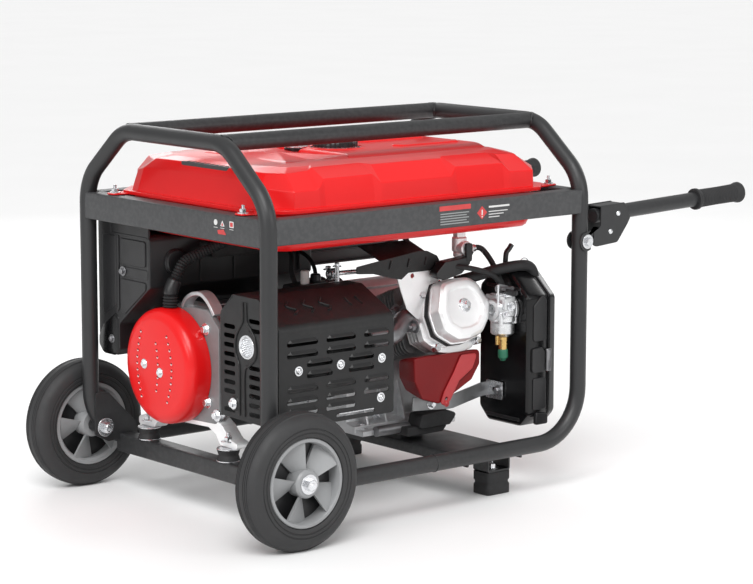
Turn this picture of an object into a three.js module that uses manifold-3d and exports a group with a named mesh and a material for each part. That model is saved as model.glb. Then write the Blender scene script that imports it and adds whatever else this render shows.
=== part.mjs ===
// Portable open-frame petrol generator with two transport wheels and two fold-out handles.
// Units are millimetres, +Z is up, +X runs along the machine towards the handles, +Y is the
// control-panel side. The engine drives the alternator along one crank line parallel to X.
import * as THREE from 'three';
import { mergeVertices } from 'three/addons/utils/BufferGeometryUtils.js';
import Module from 'manifold-3d';

const wasm = await Module();
wasm.setup();

// ---------------------------------------------------------------- driving dimensions

const GAP = 0.3;

// The floor lies a little below the level from which the frame's heights are measured.
const FLOOR_Z = -5;

// Tubular frame, measured to the tube axes from the middle of the frame.
const TUBE_R = 14;
const HALF_LENGTH = 335;
const HALF_WIDTH = 251;
const RAIL_Z = 80;
const SHOULDER_Z = 532;
const CROWN_Z = 622;
const CROWN_HALF = 141;
const CORNER_BEND = 90;
const CROWN_BEND = 80;
const SEAM_X = 5;
const TOP_RAIL_Y = 128;

// Folded bands that carry the tank.
const BAND_TOP = 512;
const BAND_OUT = 11.5;
const BAND_T = 3;
const SIDE_BAND_H = 45;
const LONG_BAND_H = 41;
const BAND_FLANGE = 30;
const BAND_LIP = 12;

// Cross beams and feet.
const BEAM_LEFT = { x: [-288, -256], z: [58, 90] };
const BEAM_RIGHT = { x: [88, 208], z: [60, 78], t: 3 };
const FOOT = { x: [158, 208], y: [180, 218], web: 35, t: 3 };

// Wheels.
const WHEEL_R = 110.5;
const WHEEL_X = -318;
const WHEEL_Z = WHEEL_R + FLOOR_Z;
const TYRE_Y = [271, 327];
const RIM_R = 71.5;
const HUB_R = 23;
const AXLE_R = 8;
const SPOKES = 5;
const SPOKE_START = 0.3;
const SPOKE_TWIST = 0.6;

// Handles.
const PIVOT_X = 337;
const PIVOT_Z = 423;
const PIVOT_R = 7;
const ARM_PLATE_T = 3;
const ARM_TUBE_R = 13;
const ARM_TUBE = { from: [366, 251, 463.5], to: [714, 267, 480.5] };
const GRIP_LENGTH = 108;
const GRIP_R = 16;
const GRIP_COLLAR_R = 19;

// Tank.
const TANK_HALF_X = 304;
const TANK_HALF_Y = 218;
const TANK_CHAMFER = 44;
const TANK_SEAM = BAND_TOP + GAP;
const TANK_TOP = 580;
const TANK_SHELL = 3;
const TANK_FLOOR = 450;
const FILLER_R = 32;

// Crank line, alternator and engine.
const CRANK_Y = 80;
const CRANK_Z = 232;
const COVER_R = 97.5;
const END_FACE_X = -318;
const END_BACK_X = -275;
const STATOR_R = 98;
const STATOR_X = [-224, -76];
const ENGINE_X = 144;
const TILT = THREE.MathUtils.degToRad(20);

// ---------------------------------------------------------------- solid modelling helpers

// A closed manifold solid made from a three.js geometry, with its faces turned outwards.
function solid(geometry, matrix = new THREE.Matrix4()) {
  const bare = geometry.clone();
  bare.deleteAttribute('normal');
  bare.deleteAttribute('uv');
  const merged = mergeVertices(bare, 1e-4);
  merged.applyMatrix4(matrix);
  const points = merged.attributes.position;
  const corners = [];
  for (let i = 0; i < merged.index.count; i += 3) {
    const [a, b, c] = [0, 1, 2].map((k) => merged.index.getX(i + k));
    if (a !== b && b !== c && c !== a) corners.push([a, b, c]);
  }
  const at = (i) => new THREE.Vector3().fromBufferAttribute(points, i);
  const volume = corners.reduce((sum, [a, b, c]) => sum + at(a).dot(at(b).cross(at(c))), 0);
  const triangles = corners.map(([a, b, c]) => (volume < 0 ? [a, c, b] : [a, b, c]));
  return new wasm.Manifold(new wasm.Mesh({
    numProp: 3,
    vertProperties: new Float32Array(points.array),
    triVerts: new Uint32Array(triangles.flat()),
  }));
}

function geometryOf(body) {
  const mesh = body.getMesh();
  const geometry = new THREE.BufferGeometry();
  geometry.setAttribute('position', new THREE.Float32BufferAttribute(mesh.vertProperties, 3));
  geometry.setIndex(Array.from(mesh.triVerts));
  geometry.computeVertexNormals();
  return geometry;
}

const join = (...bodies) => bodies.reduce((sum, body) => sum.add(body));
const cut = (body, ...tools) => tools.reduce((rest, tool) => rest.subtract(tool), body);

// Matrix that carries a shape drawn in (u, v) and pushed out along w onto the named axis.
// 'z' draws in (x, y), 'x' draws in (y, z) and 'y' draws in (x, z).
function facing(axis, along = 0) {
  const matrix = new THREE.Matrix4();
  if (axis === 'x') matrix.set(0, 0, 1, along, 1, 0, 0, 0, 0, 1, 0, 0, 0, 0, 0, 1);
  else if (axis === 'y') matrix.set(1, 0, 0, 0, 0, 0, -1, along, 0, 1, 0, 0, 0, 0, 0, 1);
  else matrix.makeTranslation(0, 0, along);
  return matrix;
}

function block([x0, x1], [y0, y1], [z0, z1]) {
  const centre = new THREE.Matrix4().makeTranslation((x0 + x1) / 2, (y0 + y1) / 2, (z0 + z1) / 2);
  return solid(new THREE.BoxGeometry(x1 - x0, y1 - y0, z1 - z0), centre);
}

// An outline pushed from one place to another along an axis.
function prism(axis, outline, [from, to]) {
  const shape = outline instanceof THREE.Shape
    ? outline
    : new THREE.Shape(outline.map(([u, v]) => new THREE.Vector2(u, v)));
  const settings = { depth: to - from, bevelEnabled: false, curveSegments: 3 };
  return solid(new THREE.ExtrudeGeometry(shape, settings), facing(axis, axis === 'y' ? to : from));
}

// A turned solid: profile points are [radius, place along the axis].
function turned(axis, profile, [u, v] = [0, 0], sides = 16) {
  const points = profile.map(([r, along]) => new THREE.Vector2(r, along));
  const matrix = new THREE.Matrix4();
  if (axis === 'x') matrix.makeRotationZ(-Math.PI / 2).setPosition(0, u, v);
  else if (axis === 'z') matrix.makeRotationX(Math.PI / 2).setPosition(u, v, 0);
  else matrix.setPosition(u, 0, v);
  return solid(new THREE.LatheGeometry(points, sides), matrix);
}

function rod(axis, radius, [from, to], at = [0, 0], sides = 12) {
  return turned(axis, [[0, from], [radius, from], [radius, to], [0, to]], at, sides);
}

function collar(axis, [inner, outer], [from, to], at = [0, 0], sides = 16) {
  const ring = [[inner, from], [outer, from], [outer, to], [inner, to], [inner, from]];
  return turned(axis, ring, at, sides);
}

// A rectangle with rounded corners, for extrusion.
function roundedRect([u0, u1], [v0, v1], r) {
  const shape = new THREE.Shape();
  shape.moveTo(u0 + r, v0);
  shape.lineTo(u1 - r, v0);
  shape.absarc(u1 - r, v0 + r, r, -Math.PI / 2, 0);
  shape.lineTo(u1, v1 - r);
  shape.absarc(u1 - r, v1 - r, r, 0, Math.PI / 2);
  shape.lineTo(u0 + r, v1);
  shape.absarc(u0 + r, v1 - r, r, Math.PI / 2, Math.PI);
  shape.lineTo(u0, v0 + r);
  shape.absarc(u0 + r, v0 + r, r, Math.PI, Math.PI * 1.5);
  return shape;
}

// A path of straight runs joined by circular bends, sampled only where it turns.
class BentPath extends THREE.Curve {
  constructor(corners, bendSteps = 4) {
    super();
    const places = corners.map(({ at }) => new THREE.Vector3(...at));
    this.stations = [{ point: places[0], tangent: places[1].clone().sub(places[0]).normalize() }];
    for (let i = 1; i < places.length - 1; i += 1) {
      this.addBend(places[i - 1], places[i], places[i + 1], corners[i].bend, bendSteps);
    }
    const last = places.length - 1;
    const tangent = places[last].clone().sub(places[last - 1]).normalize();
    this.stations.push({ point: places[last], tangent });
  }

  addBend(before, corner, after, radius, steps) {
    const into = corner.clone().sub(before).normalize();
    const out = after.clone().sub(corner).normalize();
    const turn = into.angleTo(out);
    const inward = out.clone().sub(into).normalize();
    const centre = corner.clone().addScaledVector(inward, radius / Math.cos(turn / 2));
    const start = corner.clone().addScaledVector(into, -radius * Math.tan(turn / 2)).sub(centre);
    const axis = into.clone().cross(out).normalize();
    for (let k = 0; k <= steps; k += 1) {
      const angle = (turn * k) / steps;
      this.stations.push({
        point: start.clone().applyAxisAngle(axis, angle).add(centre),
        tangent: into.clone().applyAxisAngle(axis, angle),
      });
    }
  }

  get steps() {
    return this.stations.length - 1;
  }

  getPointAt(u) {
    return this.stations[Math.round(u * this.steps)].point.clone();
  }

  getPoint(u) {
    return this.getPointAt(u);
  }

  getTangentAt(u) {
    return this.stations[Math.round(u * this.steps)].tangent.clone();
  }
}

function tube(corners, radius, sides = 10, bendSteps = 3) {
  const path = new BentPath(corners, bendSteps);
  const section = Array.from({ length: sides }, (_, k) => {
    const angle = ((k + 0.5) * 2 * Math.PI) / sides;
    return new THREE.Vector2(radius * Math.cos(angle), radius * Math.sin(angle));
  });
  const settings = { extrudePath: path, steps: path.steps, bevelEnabled: false };
  return solid(new THREE.ExtrudeGeometry(new THREE.Shape(section), settings));
}

// ---------------------------------------------------------------- materials

const finish = (color, roughness, metalness) => new THREE.MeshStandardMaterial({
  color, roughness, metalness, flatShading: true,
});
const frameBlack = finish(0x3c3d3f, 0.5, 0.35);
const bandGrey = finish(0x4a4b4d, 0.5, 0.35);
const red = finish(0xd81e1e, 0.3, 0.1);
const castAluminium = finish(0xb4b6b8, 0.42, 0.9);
const brightSteel = finish(0xc8c9cb, 0.25, 1);
const darkSteel = finish(0x55565a, 0.45, 0.8);
const rubber = finish(0x191919, 0.8, 0);
const blackPlastic = finish(0x1d1d1f, 0.4, 0);
const greyPlastic = finish(0x85878a, 0.5, 0);
const heatBlack = finish(0x2a2a2b, 0.55, 0.3);
const copper = finish(0x8a4a26, 0.4, 0.9);

function piece(name, body, material) {
  const mesh = new THREE.Mesh(geometryOf(body), material);
  mesh.name = name;
  return mesh;
}

function group(...children) {
  const holder = new THREE.Group();
  holder.add(...children);
  return holder;
}

const SIDES = [['front', -1], ['rear', 1]];

// ---------------------------------------------------------------- frame

// One end of the frame: a single tube bent into half of both bottom rails and a tall hoop.
function hoopPath(end, radius) {
  const x = end * HALF_LENGTH;
  const seam = SEAM_X + (end * GAP) / 2;
  return tube([
    { at: [seam, -HALF_WIDTH, RAIL_Z] },
    { at: [x, -HALF_WIDTH, RAIL_Z], bend: CORNER_BEND },
    { at: [x, -HALF_WIDTH, SHOULDER_Z], bend: CROWN_BEND },
    { at: [x, -CROWN_HALF, CROWN_Z], bend: CROWN_BEND },
    { at: [x, CROWN_HALF, CROWN_Z], bend: CROWN_BEND },
    { at: [x, HALF_WIDTH, SHOULDER_Z], bend: CROWN_BEND },
    { at: [x, HALF_WIDTH, RAIL_Z], bend: CORNER_BEND },
    { at: [seam, HALF_WIDTH, RAIL_Z] },
  ], radius);
}

const fatHoops = join(hoopPath(-1, TUBE_R + 2 * GAP), hoopPath(1, TUBE_R + 2 * GAP));

// Gusset plate in the bottom bend that holds the axle, with a sleeve through the tube.
function axleGusset(side) {
  const inner = side * (HALF_WIDTH - TUBE_R);
  const plateY = side < 0 ? [inner - 3, inner + 4] : [inner - 4, inner + 3];
  const outline = [
    [WHEEL_X - 20, WHEEL_Z - 12], [WHEEL_X + 6, WHEEL_Z - 26], [WHEEL_X + 68, WHEEL_Z - 22],
    [WHEEL_X + 64, WHEEL_Z + 2], [WHEEL_X + 8, WHEEL_Z + 60], [WHEEL_X - 18, WHEEL_Z + 62],
  ];
  const sleeveY = [inner - 3 * side, side * (HALF_WIDTH + TUBE_R + 2)].sort((a, b) => a - b);
  return join(prism('y', outline, plateY), rod('y', AXLE_R + 5, sleeveY, [WHEEL_X, WHEEL_Z]));
}

function axleBore(side) {
  const reach = [side * 200, side * 300].sort((a, b) => a - b);
  return rod('y', AXLE_R + GAP, reach, [WHEEL_X, WHEEL_Z]);
}

function pivotBore(side) {
  const reach = [side * 200, side * 300].sort((a, b) => a - b);
  return rod('y', PIVOT_R + GAP, reach, [PIVOT_X, PIVOT_Z]);
}

function hoops() {
  const left = cut(
    join(hoopPath(-1, TUBE_R), axleGusset(-1), axleGusset(1)),
    axleBore(-1),
    axleBore(1),
  );
  const right = cut(hoopPath(1, TUBE_R), pivotBore(-1), pivotBore(1));
  return [piece('hoop_left', left, frameBlack), piece('hoop_right', right, frameBlack)];
}

function topRails() {
  return SIDES.map(([name, side]) => {
    const ends = [-HALF_LENGTH, HALF_LENGTH].map((x) => ({ at: [x, side * TOP_RAIL_Y, CROWN_Z] }));
    return piece(`top_rail_${name}`, cut(tube(ends, TUBE_R), fatHoops), frameBlack);
  });
}

// Folded channel: a web with a flange on top and a short lip underneath.
function longBand(side) {
  const outer = side * (HALF_WIDTH + BAND_OUT);
  const span = (depth) => [outer, outer - side * depth].sort((a, b) => a - b);
  const reach = HALF_LENGTH - BAND_OUT - 8;
  const flangeX = [-reach + 26, reach - 26];
  const bottom = BAND_TOP - LONG_BAND_H;
  return join(
    block([-HALF_LENGTH, HALF_LENGTH], span(BAND_T), [bottom, BAND_TOP]),
    block(flangeX, span(BAND_FLANGE), [BAND_TOP - BAND_T, BAND_TOP]),
    block(flangeX, span(BAND_LIP), [bottom, bottom + BAND_T]),
  );
}

function sideBand(end) {
  const outer = end * (HALF_LENGTH + BAND_OUT);
  const span = (depth) => [outer, outer - end * depth].sort((a, b) => a - b);
  const flangeY = HALF_WIDTH + BAND_OUT - BAND_FLANGE - GAP;
  const bottom = BAND_TOP - SIDE_BAND_H;
  return join(
    block(span(BAND_T), [-HALF_WIDTH, HALF_WIDTH], [bottom, BAND_TOP]),
    block(span(BAND_FLANGE), [-flangeY, flangeY], [BAND_TOP - BAND_T, BAND_TOP]),
    block(span(BAND_LIP), [-flangeY, flangeY], [bottom, bottom + BAND_T]),
  );
}

function bands() {
  return [
    ...SIDES.map(([name, side]) => piece(`band_${name}`, cut(longBand(side), fatHoops), bandGrey)),
    piece('band_left', cut(sideBand(-1), fatHoops), bandGrey),
    piece('band_right', cut(sideBand(1), fatHoops), bandGrey),
  ];
}

// The left cross beam is a square tube open at both ends.
function beamLeft() {
  const { x: [x0, x1], z: [z0, z1] } = BEAM_LEFT;
  const wall = 3;
  const whole = block([x0, x1], [-HALF_WIDTH, HALF_WIDTH], [z0, z1]);
  const inside = block([x0 + wall, x1 - wall], [-300, 300], [z0 + wall, z1 - wall]);
  const gussets = SIDES.map(([, side]) => axleGussetClearance(side));
  return piece('beam_left', cut(whole, inside, fatHoops, ...gussets), frameBlack);
}

function axleGussetClearance(side) {
  const inner = side * (HALF_WIDTH - TUBE_R);
  const span = [inner - side * (4 + GAP), side * 300].sort((a, b) => a - b);
  return block([-400, -200], span, [0, 200]);
}

// The right cross beam is a wide channel, with a U-shaped bracket welded on for each foot.
function beamRight() {
  const { x: [x0, x1], z: [z0, z1], t } = BEAM_RIGHT;
  const y = [-HALF_WIDTH, HALF_WIDTH];
  const channel = join(
    block([x0, x1], y, [z1 - t, z1]),
    block([x0, x0 + t], y, [z0, z1]),
    block([x1 - t, x1], y, [z0, z1]),
  );
  const brackets = SIDES.map(([, side]) => {
    const span = FOOT.y.map((value) => side * value).sort((a, b) => a - b);
    return join(
      block([FOOT.x[0], FOOT.x[0] + FOOT.t], span, [FOOT.web, z1 - 1]),
      block([FOOT.x[1] - FOOT.t, FOOT.x[1]], span, [FOOT.web, z1 - 1]),
      block(FOOT.x, span, [FOOT.web, FOOT.web + FOOT.t]),
    );
  });
  return piece('beam_right', cut(join(channel, ...brackets), fatHoops), frameBlack);
}

function footPads() {
  return SIDES.map(([name, side]) => {
    const x = [FOOT.x[0] - 1, FOOT.x[1] + 1];
    const y = FOOT.y.map((value, i) => side * (value + (i ? 1 : -1))).sort((a, b) => a - b);
    const pad = prism('z', roundedRect(x, y, 5), [FLOOR_Z, FOOT.web - GAP]);
    return piece(`foot_pad_${name}`, pad, rubber);
  });
}

// ---------------------------------------------------------------- wheels

function tyre() {
  const half = (TYRE_Y[1] - TYRE_Y[0]) / 2;
  return turned('y', [
    [RIM_R, -half], [WHEEL_R - 14, -half], [WHEEL_R - 3, -half + 9], [WHEEL_R, -half + 18],
    [WHEEL_R, half - 18], [WHEEL_R - 3, half - 9], [WHEEL_R - 14, half], [RIM_R, half],
    [RIM_R, -half],
  ], [0, 0], 24);
}

// Moulded hub: a rim ring, a boss on the axle and broad spokes between them.
function hub(side) {
  const half = (TYRE_Y[1] - TYRE_Y[0]) / 2;
  const ring = collar('y', [RIM_R - 7, RIM_R - GAP], [-half + 2, half - 2], [0, 0], 24);
  const boss = collar('y', [AXLE_R + GAP, HUB_R], [-half - 2.5, half + 2.5], [0, 0], 14);
  const spokes = Array.from({ length: SPOKES }, (_, k) => {
    const turn = new THREE.Matrix4().makeRotationY((2 * Math.PI * k) / SPOKES + SPOKE_START);
    const reach = RIM_R - HUB_R;
    const place = new THREE.Matrix4().makeTranslation(HUB_R - 4 + reach / 2, 0, 0);
    const twist = new THREE.Matrix4().makeRotationX(side * SPOKE_TWIST);
    return solid(new THREE.BoxGeometry(reach, 7, 32), turn.multiply(place).multiply(twist));
  });
  return join(ring, boss, ...spokes);
}

// Axle bolt: head and washer outside the wheel, plain shank through hub, tube and gusset.
function axle(side) {
  const washerY = TYRE_Y[1] + 3;
  const shankEnds = [side * 218, side * (washerY + 7)].sort((a, b) => a - b);
  const washer = [side * washerY, side * (washerY + 2.5)].sort((a, b) => a - b);
  const head = [side * (washerY + 2), side * (washerY + 12)].sort((a, b) => a - b);
  const nut = [side * 222, side * 232].sort((a, b) => a - b);
  return join(
    rod('y', AXLE_R, shankEnds),
    rod('y', 17, washer, [0, 0], 14),
    rod('y', 11, head, [0, 0], 6),
    rod('y', 13, nut, [0, 0], 6),
  );
}

function wheels() {
  return SIDES.map(([name, side]) => {
    const wheel = group(
      piece(`tyre_${name}`, tyre(), rubber),
      piece(`hub_${name}`, hub(side), greyPlastic),
    );
    wheel.position.set(WHEEL_X, (side * (TYRE_Y[0] + TYRE_Y[1])) / 2, WHEEL_Z);
    const bolt = piece(`axle_${name}`, axle(side), brightSteel);
    bolt.position.set(WHEEL_X, 0, WHEEL_Z);
    return group(wheel, bolt);
  });
}

// ---------------------------------------------------------------- handles

// Side plate of the handle bracket, drawn in x and z.
function armPlate() {
  const shape = new THREE.Shape();
  shape.moveTo(352, 415);
  shape.lineTo(409, 417);
  shape.lineTo(433, 447);
  shape.lineTo(440, 457);
  shape.lineTo(424, 484);
  shape.lineTo(369, 482);
  shape.lineTo(369, 446);
  shape.lineTo(346, 438);
  shape.absarc(PIVOT_X, PIVOT_Z, 17, Math.PI / 3, Math.PI * 1.75);
  return shape;
}

// The handle tubes rise and spread slightly towards their ends.
function armTubeEnds(side) {
  return [ARM_TUBE.from, ARM_TUBE.to].map(([x, y, z]) => new THREE.Vector3(x, side * y, z));
}

// Bracket: two plates beside the upright joined by webs over and under the handle tube.
function handleArm(side) {
  const inner = HALF_WIDTH - TUBE_R - GAP;
  const outer = HALF_WIDTH + TUBE_R + GAP;
  const span = (a, b) => [side * a, side * b].sort((p, q) => p - q);
  const plates = [
    prism('y', armPlate(), span(outer, outer + ARM_PLATE_T)),
    prism('y', armPlate(), span(inner - ARM_PLATE_T, inner)),
  ];
  const width = span(inner - ARM_PLATE_T, outer + ARM_PLATE_T);
  const topWeb = prism('y', [[369, 479], [424, 481], [424, 484], [369, 482]], width);
  const endWeb = prism('y', [[421, 484], [437, 457], [440, 457], [424, 484]], width);
  const pipe = tube(armTubeEnds(side).map((end) => ({ at: end.toArray() })), ARM_TUBE_R);
  const saddle = prism('y', [[372, 448], [432, 451], [430, 454], [372, 451]], width);
  return cut(join(...plates, topWeb, endWeb, pipe, saddle), pivotBore(side));
}

function handleGrip(side) {
  const [start, end] = armTubeEnds(side);
  const run = start.distanceTo(end);
  const bore = ARM_TUBE_R + GAP;
  const profile = [
    [bore, run - GRIP_LENGTH], [GRIP_COLLAR_R, run - GRIP_LENGTH],
    [GRIP_COLLAR_R, run - GRIP_LENGTH + 10], [GRIP_R, run - GRIP_LENGTH + 14],
    [GRIP_R, run - 10], [GRIP_R + 2, run + 3], [0, run + 3], [0, run + GAP],
    [bore, run + GAP], [bore, run - GRIP_LENGTH],
  ];
  const grip = piece('grip', turned('x', profile, [0, 0], 20), rubber);
  grip.position.copy(start);
  grip.quaternion.setFromUnitVectors(new THREE.Vector3(1, 0, 0), end.sub(start).normalize());
  return grip;
}

function handles() {
  return SIDES.map(([name, side]) => {
    const grip = handleGrip(side);
    grip.name = `handle_grip_${name}`;
    const span = (a, b) => [side * a, side * b].sort((p, q) => p - q);
    const bolt = join(
      rod('y', PIVOT_R, span(223, 275), [PIVOT_X, PIVOT_Z]),
      rod('y', 9.5, span(268.7, 275.5), [PIVOT_X, PIVOT_Z], 6),
      rod('y', 9.5, span(224.5, 233), [PIVOT_X, PIVOT_Z], 6),
    );
    return group(
      piece(`handle_arm_${name}`, handleArm(side), frameBlack),
      grip,
      piece(`handle_bolt_${name}`, bolt, brightSteel),
    );
  });
}

// ---------------------------------------------------------------- fuel tank

// Crown of the tank: three crossed outlines give the sloping shoulders and cut-off corners.
function crown(inset) {
  const x = TANK_HALF_X - inset;
  const y = TANK_HALF_Y - inset;
  const top = TANK_TOP - inset;
  const floor = inset ? TANK_SEAM - 5 : TANK_SEAM;
  const mirrored = (right) => [...right, ...right.map(([u, v]) => [-u, v]).reverse()];
  const alongX = [
    [-x, floor], [-x, 522], [-x + 17, top - 3], [-x + 40, top],
    [x - 48, top], [x - 32, 571 - inset], [x - 5, 551], [x, 522], [x, floor],
  ];
  const alongY = mirrored([[y, floor], [y, 522], [y - 2, 551], [y - 42, 577 - inset], [y - 60, top]]);
  const cornerCut = TANK_CHAMFER - inset * 0.6;
  const plan = mirrored([[x - cornerCut, -y], [x, -y + cornerCut], [x, y - cornerCut], [x - cornerCut, y]]);
  return prism('y', alongX, [-y, y])
    .intersect(prism('x', alongY, [-x, x]))
    .intersect(prism('z', plan, [floor - 10, top + 10]));
}

function tankUpper() {
  const rim = prism('z', roundedRect([-311, 311], [-225, 225], 24), [TANK_SEAM, TANK_SEAM + 3]);
  const collarRing = collar('z', [FILLER_R + GAP, FILLER_R + 15], [TANK_TOP - 4, TANK_TOP + 7]);
  const hole = rod('z', FILLER_R + GAP, [TANK_TOP - 30, TANK_TOP + 20]);
  return cut(join(crown(0), rim, collarRing), crown(TANK_SHELL), hole);
}

// Lower half: a tapered tray that hangs between the bands.
function tankLower() {
  const tray = (inset, top) => {
    const x = 296 - inset;
    const y = 212 - inset;
    const floor = TANK_FLOOR + inset;
    const side = [[-x, top], [-x, 480], [-x + 18, floor], [x - 18, floor], [x, 480], [x, top]];
    const end = [[-y, top], [-y, 480], [-y + 14, floor], [y - 14, floor], [y, 480], [y, top]];
    return prism('y', side, [-y, y]).intersect(prism('x', end, [-x, x]));
  };
  return cut(tray(0, BAND_TOP), tray(TANK_SHELL, BAND_TOP + 5));
}

function fuelCap() {
  return join(
    rod('z', FILLER_R - 2, [TANK_TOP - 12, TANK_TOP + 7.5], [0, 0], 24),
    collar('z', [FILLER_R - 10, FILLER_R + 6], [TANK_TOP + 7.5, TANK_TOP + 20], [0, 0], 24),
    rod('z', FILLER_R - 6, [TANK_TOP + 7.5, TANK_TOP + 14], [0, 0], 24),
    block([-26, 26], [-4, 4], [TANK_TOP + 13, TANK_TOP + 21]),
  );
}

const VALVE = { x: 176, y: -120, z: 415 };

function fuelValve() {
  const { x, y, z } = VALVE;
  return join(
    rod('z', 11, [z + 10, TANK_FLOOR - GAP], [x, y]),
    rod('z', 14, [z - 22, z + 12], [x, y]),
    rod('y', 8, [y - 20, y], [x, z]),
    rod('x', 5, [x, x + 30], [y, z - 8]),
  );
}

function fuelValveLever() {
  const { x, y, z } = VALVE;
  return join(
    rod('y', 7, [y - 27, y - 20 - GAP], [x, z]),
    block([x - 4, x + 4], [y - 27, y - 24], [z - 26, z]),
  );
}

function fuelHose() {
  const { x, y, z } = VALVE;
  return tube([
    { at: [x + 30 + GAP, y, z - 8] },
    { at: [x + 52, y, z - 8], bend: 14 },
    { at: [x + 60, -150, z - 45], bend: 20 },
    { at: [x + 60, -168, 334] },
  ], 5, 8, 4);
}

function tank() {
  return [
    piece('tank_upper', tankUpper(), red),
    piece('tank_lower', tankLower(), red),
    piece('fuel_cap', fuelCap(), blackPlastic),
    piece('fuel_valve', fuelValve(), castAluminium),
    piece('fuel_valve_lever', fuelValveLever(), blackPlastic),
    piece('fuel_hose', fuelHose(), rubber),
  ];
}

// ---------------------------------------------------------------- alternator

const ON_CRANK = [CRANK_Y, CRANK_Z];
const CRANK_R = 17;
const BEARING_R = CRANK_R + 1;

function endCover() {
  const rim = END_BACK_X - GAP;
  return turned('x', [
    [0, END_FACE_X], [COVER_R - 12, END_FACE_X], [COVER_R - 4, END_FACE_X + 4],
    [COVER_R, END_FACE_X + 13], [COVER_R, rim], [COVER_R - 3, rim],
    [COVER_R - 3, END_FACE_X + 14], [COVER_R - 13, END_FACE_X + 3], [0, END_FACE_X + 3],
  ], ON_CRANK, 28);
}

// Cast end bracket: a flange plate, a bearing drum and an arched foot with two pads.
function endBracket() {
  const drumEnd = STATOR_X[0] - GAP;
  const plate = prism('x', roundedRect([-38, 118], [130, 334], 26), [END_BACK_X, -264]);
  const disc = rod('x', 104, [END_BACK_X, -264], ON_CRANK, 20);
  const foot = prism('x', [
    [-84, 112], [-34, 112], [-8, 128], [60, 138], [112, 128], [140, 112], [196, 112],
    [196, 124], [172, 128], [150, 150], [10, 150], [-26, 130], [-84, 122],
  ], [END_BACK_X + 1, -245]);
  const drum = rod('x', STATOR_R + 2, [-266, drumEnd], ON_CRANK, 20);
  const hollow = rod('x', STATOR_R - 5, [-258, drumEnd + 5], ON_CRANK, 20);
  const well = rod('x', COVER_R - 10, [END_BACK_X - 1, -268], ON_CRANK, 20);
  const boss = collar('x', [BEARING_R, 36], [-269, -246], ON_CRANK);
  const bore = rod('x', BEARING_R, [-290, -220], ON_CRANK, 16);
  return cut(join(cut(join(plate, disc, drum, foot), hollow, well), boss), bore);
}

function statorBody() {
  const [from, to] = STATOR_X;
  const core = collar('x', [62, STATOR_R], [from, to], ON_CRANK, 20);
  const ribs = Array.from({ length: 4 }, (_, k) => {
    const angle = Math.PI / 4 + (k * Math.PI) / 2;
    const at = [CRANK_Y + Math.cos(angle) * STATOR_R, CRANK_Z + Math.sin(angle) * STATOR_R];
    return rod('x', 7, [from + 2, to - 2], at, 8);
  });
  return join(core, ...ribs);
}

// Bell housing between the stator and the engine, with four cooling windows.
function frontHousing() {
  const start = STATOR_X[1] + GAP;
  const shell = turned('x', [
    [STATOR_R - 6, start], [STATOR_R + 3, start], [STATOR_R + 3, -40], [84, -8 - GAP],
    [76, -8 - GAP], [STATOR_R - 6, -42], [STATOR_R - 6, start],
  ], ON_CRANK, 20);
  const windows = Array.from({ length: 4 }, (_, k) => {
    const angle = (k * Math.PI) / 2;
    const y = CRANK_Y + Math.cos(angle) * STATOR_R;
    const z = CRANK_Z + Math.sin(angle) * STATOR_R;
    return block([-66, -46], [y - 28, y + 28], [z - 28, z + 28]);
  });
  return cut(shell, ...windows);
}

function rotorBody() {
  const shaftFit = CRANK_R + GAP;
  const pack = collar('x', [shaftFit, 60], [-212, -88], ON_CRANK, 16);
  const fan = collar('x', [shaftFit, 84], [-70, -66], ON_CRANK, 16);
  const hubPart = collar('x', [shaftFit, 30], [-88, -50], ON_CRANK);
  const blades = Array.from({ length: 6 }, (_, k) => {
    const turn = new THREE.Matrix4().makeRotationX((k * Math.PI) / 3);
    turn.setPosition(0, ...ON_CRANK);
    const blade = new THREE.Matrix4().makeTranslation(-58, 0, 54);
    return solid(new THREE.BoxGeometry(18, 3, 54), turn.multiply(blade));
  });
  return join(pack, fan, hubPart, ...blades);
}

function conduit() {
  return tube([
    { at: [-288, CRANK_Y, CRANK_Z + COVER_R + GAP + 0.6] },
    { at: [-287, CRANK_Y, 358], bend: 30 },
    { at: [-262, CRANK_Y, 404], bend: 30 },
    { at: [-176, 66, 435], bend: 16 },
    { at: [-176, BOX_FRONT - 0.5, 435] },
  ], 10, 10, 4);
}

function alternator() {
  return [
    piece('alternator_end_cover', endCover(), red),
    piece('alternator_end_bracket', endBracket(), castAluminium),
    piece('alternator_stator', statorBody(), darkSteel),
    piece('alternator_front_housing', frontHousing(), castAluminium),
    piece('alternator_rotor', rotorBody(), copper),
    piece('alternator_conduit', conduit(), rubber),
  ];
}

// ---------------------------------------------------------------- engine

const CASE_X = [-8, 205];

// The inclined cylinder has its own frame: local z runs from the crank line to the valve cover.
const tiltMatrix = new THREE.Matrix4()
  .makeRotationX(Math.PI / 2 - TILT)
  .setPosition(ENGINE_X, CRANK_Y, CRANK_Z);

const tilted = (geometry, x, y, z) => solid(
  geometry,
  tiltMatrix.clone().multiply(new THREE.Matrix4().makeTranslation(x, y, z)),
);

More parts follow.
